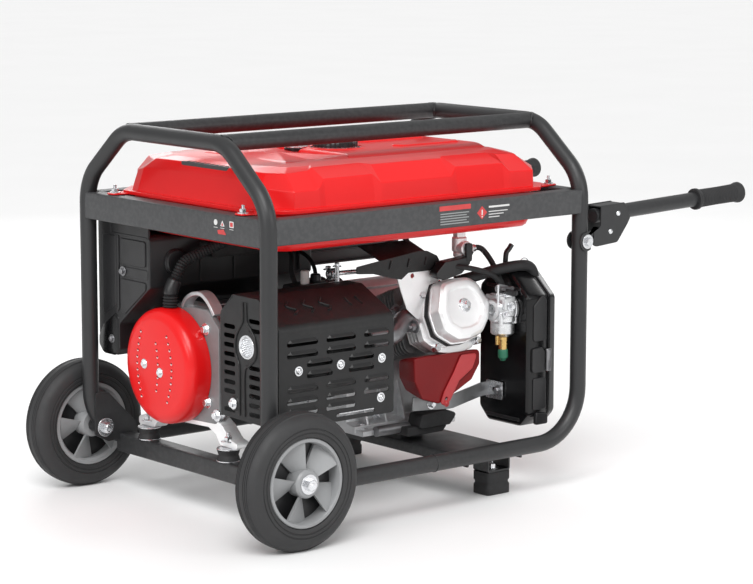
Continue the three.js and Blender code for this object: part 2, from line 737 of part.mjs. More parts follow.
// Crankcase and cylinder are one casting: case, base flange, barrel and its cooling fins.
function crankcase() {
  const [x0, x1] = CASE_X;
  const outline = new THREE.Shape();
  outline.moveTo(-62, 100);
  outline.lineTo(208, 100);
  outline.lineTo(208, 112);
  outline.lineTo(176, 122);
  outline.lineTo(176, 250);
  outline.absarc(CRANK_Y, 252, 84, 0, Math.PI * 0.86);
  outline.lineTo(-20, 250);
  outline.lineTo(-40, 180);
  outline.lineTo(-40, 116);
  outline.lineTo(-62, 112);
  const casing = prism('x', outline, [x0, x1]);
  const barrel = tilted(new THREE.CylinderGeometry(52, 52, 110, 20).rotateX(Math.PI / 2), 0, 0, 108);
  const fins = [104, 116, 128, 140, 152].map((z) => (
    tilted(new THREE.BoxGeometry(120, 118, 4), 0, 0, z)
  ));
  const chamber = rod('x', 60, [x0 - 5, x1 - 18], ON_CRANK, 16);
  const bearing = rod('x', BEARING_R, [x0 - 5, x1 + 5], ON_CRANK, 16);
  return cut(join(casing, barrel, ...fins), chamber, bearing);
}

const HEAD_Z = [163 + GAP, 226];

function headOutline(scale) {
  const points = [
    [-60, -8], [-40, 44], [-6, 50], [30, 50], [50, 38], [70, -4], [58, -32], [36, -56],
    [4, -64], [-26, -64], [-56, -44],
  ];
  return points.map(([x, y]) => [x * scale, y * scale]);
}

function cylinderHead() {
  const [z0, z1] = HEAD_Z;
  const deck = new THREE.Shape(headOutline(0.98).map(([x, y]) => new THREE.Vector2(x, y)));
  const core = new THREE.ExtrudeGeometry(deck, { depth: 16, bevelEnabled: false });
  const neck = new THREE.ExtrudeGeometry(
    new THREE.Shape(headOutline(0.82).map(([x, y]) => new THREE.Vector2(x, y))),
    { depth: z1 - z0, bevelEnabled: false },
  );
  const fins = [z0 + 4, z0 + 15, z0 + 26].map((z) => (
    tilted(new THREE.BoxGeometry(120, 116, 4), 0, -2, z)
  ));
  const port = rod('x', 20, [190, 206], [-112, 302], 14);
  return join(tilted(neck, 0, 0, z0), tilted(core, 0, 0, z1 - 16), ...fins, port);
}

function valveCover() {
  const shape = new THREE.Shape(headOutline(0.88).map(([x, y]) => new THREE.Vector2(x, y)));
  const settings = {
    depth: 22, bevelEnabled: true, bevelThickness: 9, bevelSize: 8, bevelSegments: 2, bevelOffset: -2,
  };
  const dome = new THREE.ExtrudeGeometry(shape, settings);
  const trim = tilted(new THREE.BoxGeometry(300, 300, 40), 0, 0, HEAD_Z[1] + GAP - 20);
  const bolt = tilted(new THREE.CylinderGeometry(7, 7, 8, 6).rotateX(Math.PI / 2), 4, -2, 262);
  return join(cut(tilted(dome, 0, 0, HEAD_Z[1] + 2), trim), bolt);
}

function crankshaftBody() {
  const web = (x) => rod('x', 48, [x, x + 16], ON_CRANK, 16);
  return join(rod('x', CRANK_R, [-266, 250], ON_CRANK, 16), web(108), web(150));
}

function flywheelBody() {
  const rim = collar('x', [CRANK_R + GAP, 92], [212, 226], ON_CRANK, 20);
  const cup = collar('x', [CRANK_R + GAP, 40], [226, 244], ON_CRANK, 16);
  const blades = Array.from({ length: 8 }, (_, k) => {
    const turn = new THREE.Matrix4().makeRotationX((k * Math.PI) / 4);
    turn.setPosition(0, ...ON_CRANK);
    const blade = new THREE.Matrix4().makeTranslation(233, 0, 73);
    return solid(new THREE.BoxGeometry(16, 3, 32), turn.multiply(blade));
  });
  return join(rim, cup, ...blades);
}

// Blower housing: a scroll around the flywheel with a skirt under the cylinder.
function blowerHousing() {
  const start = CASE_X[1] + GAP;
  const scroll = (grow, [from, to]) => {
    const shape = new THREE.Shape();
    shape.moveTo(CRANK_Y + 108 + grow, CRANK_Z);
    shape.absarc(CRANK_Y, CRANK_Z, 108 + grow, 0, Math.PI * 0.6);
    shape.lineTo(-20 - grow, 336 + grow);
    shape.lineTo(-46 - grow, 300);
    shape.lineTo(-34 - grow, 200);
    shape.absarc(CRANK_Y, CRANK_Z, 108 + grow, Math.PI * 1.14, Math.PI * 2);
    return prism('x', shape, [from, to]);
  };
  const shell = scroll(0, [start, 262]);
  const inside = scroll(-3, [start - 5, 259]);
  const mouth = rod('x', 84, [250, 270], ON_CRANK, 20);
  return cut(shell, inside, mouth);
}

function recoilCover() {
  const start = 262 + GAP;
  const shell = turned('x', [
    [86, start], [96, start], [96, start + 8], [88, start + 30], [60, start + 38], [0, start + 38],
    [0, start + 35], [58, start + 35], [84, start + 28], [92, start + 7], [86, start + 6],
    [86, start],
  ], ON_CRANK, 20);
  const guide = rod('x', 12, [start + 4, start + 34], [150, 288], 14);
  const eye = rod('x', 3.5, [start - 2, start + 40], [150, 288], 10);
  return cut(join(shell, guide), eye);
}

function recoilGrip() {
  const start = 262 + GAP + 34 + GAP;
  const stem = rod('x', 3, [start - 30, start + 10], [150, 288], 8);
  const bar = prism('x', roundedRect([118, 182], [279, 297], 8), [start + 4, start + 18]);
  const neck = turned('x', [
    [0, start], [8, start], [10, start + 5], [0, start + 5],
  ], [150, 288], 12);
  return join(stem, bar, neck);
}

const CARB = { y: -168, z: 305 };

function carburetor() {
  const { y, z } = CARB;
  return join(
    rod('x', 19, [213, 249.6], [y, z], 14),
    block([213, 218], [y - 30, y + 30], [z - 20, z + 20]),
    block([244, 249.6], [y - 26, y + 26], [z - 18, z + 18]),
    rod('z', 16, [z - 52, z - 16], [232, y - 2], 14),
    rod('z', 13, [z - 22, z + 6], [232, y], 12),
    rod('z', 8, [z - 72, z - 50], [232, y - 2], 10),
    block([219, 243], [y - 16, y + 16], [z + 10, z + 26]),
  );
}

function chokeLever() {
  const { y, z } = CARB;
  return join(
    rod('z', 5, [z + 26 + GAP, z + 32], [224, y - 10], 10),
    block([221, 227], [y - 42, y - 10], [z + 29, z + 32]),
    block([220, 228], [y - 46, y - 40], [z + 29, z + 40]),
  );
}

const AIR_BOX = { x: [250, 298, 317], y: [-215, -90], z: [100, 368] };

function airBoxOutline(inset) {
  const [y0, y1] = [AIR_BOX.y[0] + inset, AIR_BOX.y[1] - inset];
  const [z0, z1] = [AIR_BOX.z[0] + inset, AIR_BOX.z[1] - inset];
  return [
    [y0 + 14, z0], [y1 - 30, z0 + 16], [y1, z0 + 40], [y1, z1 - 24], [y1 - 14, z1],
    [y0 + 24, z1], [y0, z1 - 22], [y0, z0 + 12],
  ];
}

function airCleaner() {
  const [x0, seam, x1] = AIR_BOX.x;
  const base = cut(
    prism('x', airBoxOutline(0), [x0, seam]),
    prism('x', airBoxOutline(3), [x0 + 3, seam + 5]),
    rod('x', 17, [x0 - 5, x0 + 10], [CARB.y, CARB.z], 18),
  );
  const cover = cut(
    prism('x', airBoxOutline(0), [seam + GAP, x1]),
    prism('x', airBoxOutline(3), [seam - 5, x1 - 3]),
  );
  const latch = join(
    block([290, 302], [-221, -218], [196, 236]),
    block([290, 293], [-221, -216.2], [196, 236]),
  );
  return [
    piece('air_cleaner_base', base, blackPlastic),
    piece('air_cleaner_cover', cover, blackPlastic),
    piece('air_cleaner_latch', latch, blackPlastic),
  ];
}

// Muffler canister, hollow and open at its outlet, with the pipe from the head.
const MUFFLER = { x: [-278, -72], y: -145, z: 262, r: 62 };
const OUTLET = [-136, 292];

function muffler() {
  const { x: [x0, x1], y, z, r } = MUFFLER;
  const canister = turned('x', [
    [0, x0], [r - 12, x0], [r, x0 + 8], [r, x1 - 8], [r - 12, x1], [0, x1],
  ], [y, z], 20);
  const pipe = tube([
    { at: [x1 - 10, -132, 282] },
    { at: [30, -132, 282], bend: 30 },
    { at: [60, -104, 290], bend: 14 },
    { at: [81.5, -104, 290] },
  ], 16, 12, 3);
  const hollow = rod('x', r - 12, [x0 + 3, x1 - 16], [y, z], 16);
  const outlet = rod('x', 13, [-289, x0 + 5], OUTLET, 14);
  const bore = rod('x', 10, [-295, x0 + 10], OUTLET, 14);
  const flange = block([x1 - 3, x1 + 4], [-165, -100], [262, 302]);
  return cut(join(canister, pipe, outlet, flange), hollow, bore);
}

// Sheet-metal guard around the muffler: front, sloped top, back lip and slotted end.
function mufflerGuard() {
  const outline = [
    [-222, 168], [-222, 328], [-214, 334], [-140, 374], [-98, 374], [-66, 342], [-66, 172],
  ];
  const inner = [
    [-219.5, 160], [-219.5, 327], [-213, 331.5], [-139, 371.5], [-99, 371.5], [-68.5, 341], [-68.5, 160],
  ];
  const shell = cut(
    prism('x', outline, [-293, -56]),
    prism('x', inner, [-290.5, -50]),
  );
  const endSlots = [-190, -112].map((y) => (
    block([-300, -285], [y - 14, y + 14], [196, 250])
  ));
  const outletHole = rod('x', 20, [-300, -280], OUTLET, 16);
  const back = block([-290, -50], [-75, -60], [120, 330]);
  return cut(shell, ...endSlots, outletHole, back);
}

function sparkArrestor() {
  return join(
    collar('x', [13 + GAP, 19], [-296, -282], OUTLET),
    rod('x', 14, [-292, -289 - GAP], OUTLET, 16),
  );
}

function mounts() {
  const spots = [
    ['alternator_mount_front', -272, -58, BEAM_LEFT.z[1], 112],
    ['alternator_mount_rear', -272, 168, BEAM_LEFT.z[1], 112],
    ['engine_mount_front', 140, -40, BEAM_RIGHT.z[1], 100],
    ['engine_mount_rear', 140, 190, BEAM_RIGHT.z[1], 100],
  ];
  return spots.map(([name, x, y, from, to]) => {
    const low = from + GAP;
    const high = to - GAP;
    const waist = (low + high) / 2;
    const profile = [[0, low], [20, low], [17, waist], [20, high], [0, high]];
    return piece(name, turned('z', profile, [x, y], 16), rubber);
  });
}

function engine() {
  return [
    piece('crankcase', crankcase(), castAluminium),
    piece('cylinder_head', cylinderHead(), castAluminium),
    piece('valve_cover', valveCover(), brightSteel),
    piece('crankshaft', crankshaftBody(), darkSteel),
    piece('flywheel', flywheelBody(), darkSteel),
    piece('blower_housing', blowerHousing(), red),
    piece('recoil_cover', recoilCover(), red),
    piece('recoil_grip', recoilGrip(), blackPlastic),
    piece('carburetor', carburetor(), castAluminium),
    piece('choke_lever', chokeLever(), brightSteel),
    ...airCleaner(),
    piece('muffler', muffler(), heatBlack),
    piece('muffler_guard', mufflerGuard(), heatBlack),
    piece('spark_arrestor', sparkArrestor(), brightSteel),
    ...mounts(),
  ];
}

// ---------------------------------------------------------------- control box

const PANEL_Y = 255;
const PANEL_T = 4;
const PANEL_Z = [246, 466];
const BOX_X = [-314, 30];
const BOX_FRONT = 102;
const BOX_TOP = 447;
const BOX_RIM = 470;
const BOX_RIM_Y = 216;
const BOX_KEEL_Y = 192;
const BOX_BOTTOM = 234;
const BOX_WALL = 3;
const APRON = { x: [BOX_X[1] - BOX_WALL, 318], y: [247, 250], z: [343, BOX_TOP], fold: 14 };
const SOCKETS = { x: [-236, -160], z: 330, radii: [21, 26] };

// Open-backed box: chamfered to clear the alternator, with a rim that stands up beside the tank
// and a sheet apron that closes the space up to the right-hand upright.
function controlBox() {
  const outline = (inset, back) => [
    [BOX_FRONT + inset, 360 + inset * 0.5],
    [BOX_KEEL_Y + inset, 290],
    [BOX_KEEL_Y + inset, 246 + inset * 0.5],
    [BOX_KEEL_Y + 10 + inset * 0.5, BOX_BOTTOM + inset],
    [240 - inset * 0.5, BOX_BOTTOM + inset],
    [back, 246 + (back - PANEL_Y) + inset],
    [back, BOX_RIM - inset],
    [BOX_RIM_Y + inset, BOX_RIM - inset],
    [BOX_RIM_Y + inset, BOX_TOP - inset],
    [BOX_FRONT + inset, BOX_TOP - inset],
  ];
  const inner = [BOX_X[0] + BOX_WALL, BOX_X[1] - BOX_WALL];
  const shell = cut(
    prism('x', outline(0, PANEL_Y), BOX_X),
    prism('x', outline(BOX_WALL, PANEL_Y + 5), inner),
  );
  const endRim = block([BOX_X[0], inner[0]], [BOX_FRONT, PANEL_Y], [BOX_TOP - BOX_WALL, BOX_RIM]);
  const sheet = block(APRON.x, APRON.y, APRON.z);
  const foldZ = [APRON.z[0], APRON.z[0] + BOX_WALL];
  const fold = block(APRON.x, [APRON.y[0] - APRON.fold, APRON.y[1]], foldZ);
  return join(shell, endRim, sheet, fold);
}

function controlPanel() {
  const y = [PANEL_Y + GAP, PANEL_Y + PANEL_T];
  const width = [BOX_X[0] + PANEL_T, BOX_X[1] - PANEL_T];
  const plate = prism('y', roundedRect(width, PANEL_Z, 8), y);
  const sockets = SOCKETS.x.map((x) => (
    collar('y', SOCKETS.radii, [y[1] - 1, y[1] + 5], [x, SOCKETS.z], 20)
  ));
  const meter = block([-262, -202], [y[1] - 1, y[1] + 3], [386, 428]);
  return join(plate, ...sockets, meter);
}

const SWITCH = [-24, 400];
const BREAKER = [-100, 400];

function engineSwitch() {
  const y = PANEL_Y + PANEL_T + GAP;
  return join(
    rod('y', 12, [y, y + 6], SWITCH, 16),
    block([SWITCH[0] - 3, SWITCH[0] + 3], [y + 6, y + 14], [SWITCH[1] - 11, SWITCH[1] + 11]),
  );
}

function breakerLever() {
  const y = PANEL_Y + PANEL_T + GAP;
  return join(
    rod('x', 6, [BREAKER[0] - 10, BREAKER[0] + 10], [y + 6, BREAKER[1]], 12),
    block([BREAKER[0] - 9, BREAKER[0] + 9], [y + 8, y + 20], [BREAKER[1] + 1, BREAKER[1] + 6]),
  );
}

function electrics() {
  return [
    piece('control_box', controlBox(), blackPlastic),
    piece('control_panel', controlPanel(), blackPlastic),
    piece('engine_switch', engineSwitch(), red),
    piece('breaker_lever', breakerLever(), blackPlastic),
  ];
}

// ---------------------------------------------------------------- assembly

const generator = group(
  ...hoops(),
  ...topRails(),
  ...bands(),
  beamLeft(),
  beamRight(),
  ...footPads(),
  ...wheels(),
  ...handles(),
  ...tank(),
  ...alternator(),
  ...engine(),
  ...electrics(),
);

// The origin is on the floor under the middle of the whole machine, handles included.
const [armStart, armEnd] = armTubeEnds(1);
const reach = armEnd.clone().sub(armStart).normalize();
const gripEnd = armEnd.x + 3 * reach.x + (GRIP_R + 2) * Math.hypot(reach.y, reach.z);
generator.position.set(-(gripEnd + WHEEL_X - WHEEL_R) / 2, 0, -FLOOR_Z);

export default generator;
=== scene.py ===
import math

import bpy
from mathutils import Matrix, Vector


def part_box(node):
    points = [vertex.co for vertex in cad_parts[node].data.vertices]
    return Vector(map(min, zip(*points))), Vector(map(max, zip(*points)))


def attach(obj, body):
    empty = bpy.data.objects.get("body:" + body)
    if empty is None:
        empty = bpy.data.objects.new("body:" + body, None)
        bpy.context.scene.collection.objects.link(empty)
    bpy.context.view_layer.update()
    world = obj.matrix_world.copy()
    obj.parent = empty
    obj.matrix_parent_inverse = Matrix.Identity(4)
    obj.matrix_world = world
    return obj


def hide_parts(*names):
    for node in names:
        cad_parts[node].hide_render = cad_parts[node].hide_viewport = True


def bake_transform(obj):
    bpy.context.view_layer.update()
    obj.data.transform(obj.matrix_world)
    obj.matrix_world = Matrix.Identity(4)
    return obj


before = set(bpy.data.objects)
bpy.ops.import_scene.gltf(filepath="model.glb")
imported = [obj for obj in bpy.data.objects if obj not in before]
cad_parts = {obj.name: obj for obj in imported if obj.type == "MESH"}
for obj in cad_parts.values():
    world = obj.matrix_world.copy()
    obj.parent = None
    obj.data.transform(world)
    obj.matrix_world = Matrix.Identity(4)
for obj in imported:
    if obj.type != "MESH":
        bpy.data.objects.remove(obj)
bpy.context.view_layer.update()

# ---------------------------------------------------------------- the working frame
# Shapes below are drawn in millimetres from the middle of the tubular frame, with heights
# measured from a datum a little above the floor, and moved into the row frame when built.

MM = 0.001
FLOOR_Z = -5.0
CENTRE_X = (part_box("hoop_left")[0].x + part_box("hoop_right")[1].x) / 2
TO_ROW = Matrix.Translation((CENTRE_X, 0, -FLOOR_Z * MM)) @ Matrix.Scale(MM, 4)

X, Y, Z = Vector((1, 0, 0)), Vector((0, 1, 0)), Vector((0, 0, 1))
AXES = {"x": X, "y": Y, "z": Z, "-x": -X, "-y": -Y, "-z": -Z}


def facing(axis, at=(0, 0, 0), roll=0.0):
    """Matrix that carries local +Z onto an axis and local origin to a point."""
    direction = AXES[axis] if isinstance(axis, str) else Vector(axis).normalized()
    side = Z if abs(direction.z) < 0.9 else X
    u = side.cross(direction).normalized()
    v = direction.cross(u)
    turn = Matrix((u, v, direction)).transposed().to_4x4()
    return Matrix.Translation(Vector(at)) @ turn @ Matrix.Rotation(roll, 4, "Z")


def plane_of(axis, along=0.0):
    """Matrix for outlines drawn in the plane across an axis: x in (y, z), y in (x, z), z in (x, y)."""
    if axis == "x":
        return Matrix(((0, 0, 1, along), (1, 0, 0, 0), (0, 1, 0, 0), (0, 0, 0, 1)))
    if axis == "y":
        return Matrix(((1, 0, 0, 0), (0, 0, 1, along), (0, 1, 0, 0), (0, 0, 0, 1)))
    return Matrix.Translation((0, 0, along))


# ---------------------------------------------------------------- outlines and paths

def arc(centre, radius, start, stop, steps):
    """Points on an arc in the plane, angles in degrees."""
    turns = [math.radians(start + (stop - start) * k / steps) for k in range(steps + 1)]
    return [(centre[0] + radius * math.cos(t), centre[1] + radius * math.sin(t)) for t in turns]


def rounded(points, radius, steps=4):
    """A closed outline with its corners rounded; radius is one number or one per corner."""
    count = len(points)
    radii = radius if isinstance(radius, (list, tuple)) else [radius] * count
    out = []
    for k, (here, r) in enumerate(zip(points, radii)):
        before, after = Vector(points[k - 1]), Vector(points[(k + 1) % count])
        here = Vector(here)
        a, b = (before - here), (after - here)
        cosine = max(-1.0, min(1.0, a.normalized().dot(b.normalized())))
        half = math.acos(cosine) / 2
        if r <= 0 or half > math.pi / 2 - 0.02:
            out.append(tuple(here))
            continue
        back = min(r / math.tan(half), 0.49 * a.length, 0.49 * b.length)
        p, q = here + a.normalized() * back, here + b.normalized() * back
        for s in range(steps + 1):
            t = s / steps
            out.append(tuple((1 - t) ** 2 * p + 2 * t * (1 - t) * here + t * t * q))
    return out


def box_outline(u, v, r=0.0, steps=4):
    """A rectangle between two places each way, with its corners rounded if r is given."""
    points = [(u[0], v[0]), (u[1], v[0]), (u[1], v[1]), (u[0], v[1])]
    return rounded(points, r, steps) if r else points


def bent(corners, steps=8):
    """Points on straight runs joined by circular bends; a corner is (x, y, z) or (x, y, z, bend)."""
    spots = [Vector(c[:3]) for c in corners]
    out = [spots[0]]
    for k in range(1, len(spots) - 1):
        into = (spots[k] - spots[k - 1]).normalized()
        away = (spots[k + 1] - spots[k]).normalized()
        turn = into.angle(away)
        if len(corners[k]) < 4 or turn < 1e-3:
            out.append(spots[k])
            continue
        radius = corners[k][3]
        centre = spots[k] + (away - into).normalized() * radius / math.cos(turn / 2)
        start = spots[k] - into * radius * math.tan(turn / 2) - centre
        axis = into.cross(away).normalized()
        for s in range(steps + 1):
            out.append(centre + Matrix.Rotation(turn * s / steps, 3, axis) @ start)
    out.append(spots[-1])
    return out


def smooth_path(points, steps=6):
    """Catmull-Rom curve through points."""
    p = [Vector(q) for q in points]
    p = [2 * p[0] - p[1]] + p + [2 * p[-1] - p[-2]]
    out = []
    for k in range(1, len(p) - 2):
        for s in range(steps):
            t = s / steps
            a, b, c, d = p[k - 1:k + 3]
            out.append(0.5 * (2 * b + (c - a) * t + (2 * a - 5 * b + 4 * c - d) * t ** 2
                              + (3 * b - a - 3 * c + d) * t ** 3))
    out.append(p[-2])
    return out


def circle(centre, radius, steps=24):
    return arc(centre, radius, 0, 360 - 360 / steps, steps - 1)


def slot_hole(u, v, steps=6):
    """A hole with round ends between u[0] and u[1], as wide as v."""
    r = (v[1] - v[0]) / 2
    mid = (v[0] + v[1]) / 2
    return arc((u[1] - r, mid), r, -90, 90, steps) + arc((u[0] + r, mid), r, 90, 270, steps)


def scaled(outline, scale, centre):
    return [(centre[0] + (x - centre[0]) * scale, centre[1] + (y - centre[1]) * scale) for x, y in outline]


def shrink(outline, scale):
    """The outline drawn in by the same amount on all sides of its bounding box."""
    u = [p[0] for p in outline]
    v = [p[1] for p in outline]
    cu, cv = (min(u) + max(u)) / 2, (min(v) + max(v)) / 2
    inset = (1 - scale) * (max(u) - min(u)) / 2
    ku = 1 - 2 * inset / (max(u) - min(u))
    kv = 1 - 2 * inset / (max(v) - min(v))
    return [(cu + (a - cu) * ku, cv + (b - cv) * kv) for a, b in outline]


def stacked(outline, levels):
    """Rings of one outline drawn in by a scale at each of several heights."""
    return [[(u, v, height) for u, v in shrink(outline, scale)] for height, scale in levels]


def resample(path, step):
    """The same path with points about one step apart."""
    path = [Vector(p) for p in path]
    out = [path[0]]
    for a, b in zip(path, path[1:]):
        count = max(1, int(round((b - a).length / step)))
        out += [a.lerp(b, k / count) for k in range(1, count + 1)]
    return out


def off_axis(axis, at):
    """The point whose two places across an axis are at, and whose place along it is zero."""
    return {"x": (0, at[0], at[1]), "y": (at[0], 0, at[1]), "z": (at[0], at[1], 0)}[axis]


# ---------------------------------------------------------------- meshes

BOLT_ROLL, SCREW_ROLL = 0.2, 0.6
WASHER_EDGE, WASHER_TOP = 1.2, 1.6
THREAD_PITCH, THREAD_DEPTH = 1.2, 0.5


def link_new(name, data):
    """A new object in the scene's own collection."""
    made = bpy.data.objects.new(name, data)
    bpy.context.scene.collection.objects.link(made)
    return made


class Form:
    """Vertices and faces in millimetres, gathered into one piece."""

    def __init__(self):
        self.verts, self.faces = [], []

    def add(self, verts, faces, matrix=None):
        start = len(self.verts)
        matrix = matrix or Matrix.Identity(4)
        self.verts += [matrix @ Vector(v) for v in verts]
        flip = matrix.determinant() < 0
        for face in faces:
            face = [start + k for k in face]
            self.faces.append(face[::-1] if flip else face)
        return self

    def rings(self, rings, cap=True, closed=False, matrix=None):
        """Skin over rings of points that all have the same count."""
        count = len(rings[0])
        verts = [p for ring in rings for p in ring]
        faces = []
        pairs = len(rings) if closed else len(rings) - 1
        for k in range(pairs):
            a, b = k * count, ((k + 1) % len(rings)) * count
            for s in range(count):
                n = (s + 1) % count
                faces.append([a + s, a + n, b + n, b + s])
        if cap and not closed:
            faces.append(list(range(count))[::-1])
            faces.append([(len(rings) - 1) * count + s for s in range(count)])
        return self.add(verts, faces, matrix)

    def prism(self, outline, axis, ends, matrix=None):
        """An outline drawn across an axis and pushed between two places on it."""
        area = sum(a[0] * b[1] - b[0] * a[1] for a, b in zip(outline, outline[1:] + outline[:1]))
        outline = outline if area > 0 else outline[::-1]
        lo, hi = min(ends), max(ends)
        place = plane_of(axis)
        place = matrix @ place if matrix else place
        return self.rings([[(u, v, w) for u, v in outline] for w in (lo, hi)], matrix=place)

    def block(self, x, y, z, matrix=None):
        return self.prism(box_outline(sorted(x), sorted(y)), "z", z, matrix)

    def lathe(self, profile, axis="z", at=(0, 0, 0), steps=40, matrix=None):
        """A profile of (radius, place along the axis) turned about the axis."""
        place = matrix or facing(axis, at)
        closed = profile[0] == profile[-1]
        profile = profile[:-1] if closed else profile
        verts, index = [], []
        for r, along in profile:
            if r < 1e-6:
                index.append([len(verts)] * steps)
                verts.append((0, 0, along))
                continue
            index.append([len(verts) + s for s in range(steps)])
            for s in range(steps):
                t = 2 * math.pi * s / steps
                verts.append((r * math.cos(t), r * math.sin(t), along))
        faces = []
        pairs = len(profile) if closed else len(profile) - 1
        for k in range(pairs):
            a, b = index[k], index[(k + 1) % len(profile)]
            for s in range(steps):
                n = (s + 1) % steps
                face = [a[s], a[n], b[n], b[s]]
                face = [v for i, v in enumerate(face) if v not in face[:i]]
                if len(face) > 2:
                    faces.append(face)
        area = sum(a[0] * b[1] - b[0] * a[1] for a, b in zip(profile, profile[1:] + profile[:1]))
        if area < 0:
            faces = [face[::-1] for face in faces]
        return self.add(verts, faces, place)

    def rod(self, radius, axis, ends, at=(0, 0), steps=32, edge=0.6):
        """A round bar along x, y or z with slightly rounded ends; at is its place across the axis."""
        lo, hi = min(ends), max(ends)
        e = min(edge, radius / 2, (hi - lo) / 3)
        profile = [(0, lo), (radius - e, lo), (radius, lo + e), (radius, hi - e), (radius - e, hi), (0, hi)]
        return self.lathe(profile, axis, off_axis(axis, at), steps)

    def ring(self, inner, outer, axis, ends, at=(0, 0), steps=40, edge=0.6):
        """A round bar with a hole through it, and slightly rounded edges."""
        lo, hi = min(ends), max(ends)
        e = min(edge, (outer - inner) / 3, (hi - lo) / 3)
        profile = [(inner, lo + e), (inner + e, lo), (outer - e, lo), (outer, lo + e), (outer, hi - e),
                   (outer - e, hi), (inner + e, hi), (inner, hi - e), (inner, lo + e)]
        return self.lathe(profile, axis, off_axis(axis, at), steps)

    def tube(self, path, radius, sides=20, closed=False):
        """A round section carried along a path; radius is a number or a function of 0..1."""
        path = [Vector(p) for p in path]
        count = len(path)
        size = radius if callable(radius) else (lambda t: radius)
        tangents = []
        for k in range(count):
            a = path[k - 1] if (k or closed) else path[k]
            b = path[(k + 1) % count] if (k < count - 1 or closed) else path[k]
            tangents.append((b - a).normalized())
        side = tangents[0].orthogonal().normalized()
        rings = []
        for k, (p, t) in enumerate(zip(path, tangents)):
            side = (side - t * side.dot(t)).normalized()
            up = t.cross(side)
            r = size(k / max(1, count - 1))
            rings.append([
                p + (side * math.cos(a) + up * math.sin(a)) * r
                for a in (2 * math.pi * s / sides for s in range(sides))
            ])
        return self.rings(rings, closed=closed)

    def strip(self, path, width, thick, normal):
        """A flat bar carried along a path, its flat face looking along normal."""
        path = [Vector(p) for p in path]
        rings = []
        for k, p in enumerate(path):
            t = (path[min(k + 1, len(path) - 1)] - path[max(k - 1, 0)]).normalized()
            n = Vector(normal(k / (len(path) - 1)) if callable(normal) else normal)
            n = (n - t * n.dot(t)).normalized()
            side = t.cross(n)
            w, h = side * width / 2, n * thick / 2
            rings.append([p - w - h, p + w - h, p + w + h, p - w + h])
        return self.rings(rings)

    def bolt(self, at, direction, across=10.0, head=6.0, washer=True, stud=0.0):
        """A hexagon bolt head or nut seen from outside, with its washer and any thread beyond it."""
        place = facing(direction, at, BOLT_ROLL)
        low = 0.0
        if washer:
            w = across * 0.95
            low = WASHER_TOP
            self.lathe([(0, 0), (w, 0), (w, WASHER_EDGE), (w - 0.5, low), (0, low)], matrix=place, steps=28)
        r = across / math.sqrt(3)
        top = low + head
        self.lathe([(0, low), (r, low), (r, top - 0.9), (r - 1.2, top), (0, top)], matrix=place, steps=6)
        if stud:
            s = across * 0.3
            profile = [(0, top - 1), (s, top - 1)]
            for k in range(int(stud / THREAD_PITCH)):
                start = top + k * THREAD_PITCH
                profile += [(s, start), (s - THREAD_DEPTH, start + THREAD_PITCH / 2)]
            profile += [(s - 0.4, top + stud), (0, top + stud)]
            self.lathe(profile, matrix=place, steps=16)
        return self

    def screw(self, at, direction, radius):
        """A pan-head cross-slot screw with a washer under it."""
        place = facing(direction, at, SCREW_ROLL)
        w = radius * 1.45
        self.lathe([(0, 0), (w, 0), (w, 0.8), (w - 0.4, 1.1), (0, 1.1)], matrix=place, steps=28)
        turns = [k * math.pi / 2 / 5 for k in range(5)]
        dome = [(0, 0.9)] + [(radius * math.cos(t), 1.1 + radius * 0.55 * math.sin(t)) for t in turns]
        slot = radius * 0.42
        top = 1.1 + radius * 0.55
        dome += [(slot, top - 0.1), (slot * 0.6, top - 1.2), (0, top - 1.2)]
        self.lathe(dome, matrix=place, steps=24)
        for turn in (0, math.pi / 2):
            cross = place @ Matrix.Rotation(turn, 4, "Z")
            self.block((-slot * 1.25, slot * 1.25), (-0.35, 0.35), (top - 1.4, top - 0.75), cross)
        return self

    def mesh(self, name, material):
        """The shape as a smooth-shaded mesh in the row frame."""
        mesh = bpy.data.meshes.new(name)
        mesh.from_pydata([tuple(v) for v in self.verts], [], self.faces)
        mesh.transform(TO_ROW)
        mesh.validate()
        mesh.materials.append(MATERIALS[material])
        mesh.shade_smooth()
        return mesh

    def build(self, name, material, body="frame", replaces=None, bevel=0.0, segments=2, angle=38.0):
        """Makes the piece; its edges sharper than angle are bevelled, or else left sharp."""
        mesh = self.mesh(name, material)
        piece = link_new(name, mesh)
        if bevel:
            modifier = piece.modifiers.new("edges", "BEVEL")
            modifier.width = bevel * MM
            modifier.segments = segments
            modifier.limit_method = "ANGLE"
            modifier.angle_limit = math.radians(angle)
            modifier.harden_normals = True
            modifier.use_clamp_overlap = True
        else:
            mesh.set_sharp_from_angle(angle=math.radians(angle))
        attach(piece, body)
        if replaces:
            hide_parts(replaces)


def plate(name, outline, holes, axis, ends, material, replaces=None, edge=0.5):
    """A sheet or casting with holes through it and slightly rounded edges."""
    curve = bpy.data.curves.new(name, "CURVE")
    curve.dimensions = "2D"
    curve.fill_mode = "BOTH"
    for points in [outline] + holes:
        spline = curve.splines.new("POLY")
        spline.points.add(len(points) - 1)
        for spot, (u, v) in zip(spline.points, points):
            spot.co = (u, v, 0, 1)
        spline.use_cyclic_u = True
    lo, hi = min(ends), max(ends)
    curve.extrude = (hi - lo) / 2 - edge
    curve.bevel_depth = edge
    curve.bevel_resolution = 1
    curve.offset = -edge
    holder = link_new(name + "_outline", curve)
    flat = holder.evaluated_get(bpy.context.evaluated_depsgraph_get())
    mesh = bpy.data.meshes.new_from_object(flat)
    bpy.data.objects.remove(holder)
    place = plane_of(axis, (lo + hi) / 2)
    mesh.transform(place)
    if place.determinant() < 0:
        mesh.flip_normals()
    form = Form().add([v.co.copy() for v in mesh.vertices], [list(p.vertices) for p in mesh.polygons])
    bpy.data.meshes.remove(mesh)
    form.build(name, material, replaces=replaces, angle=32)


# ---------------------------------------------------------------- materials

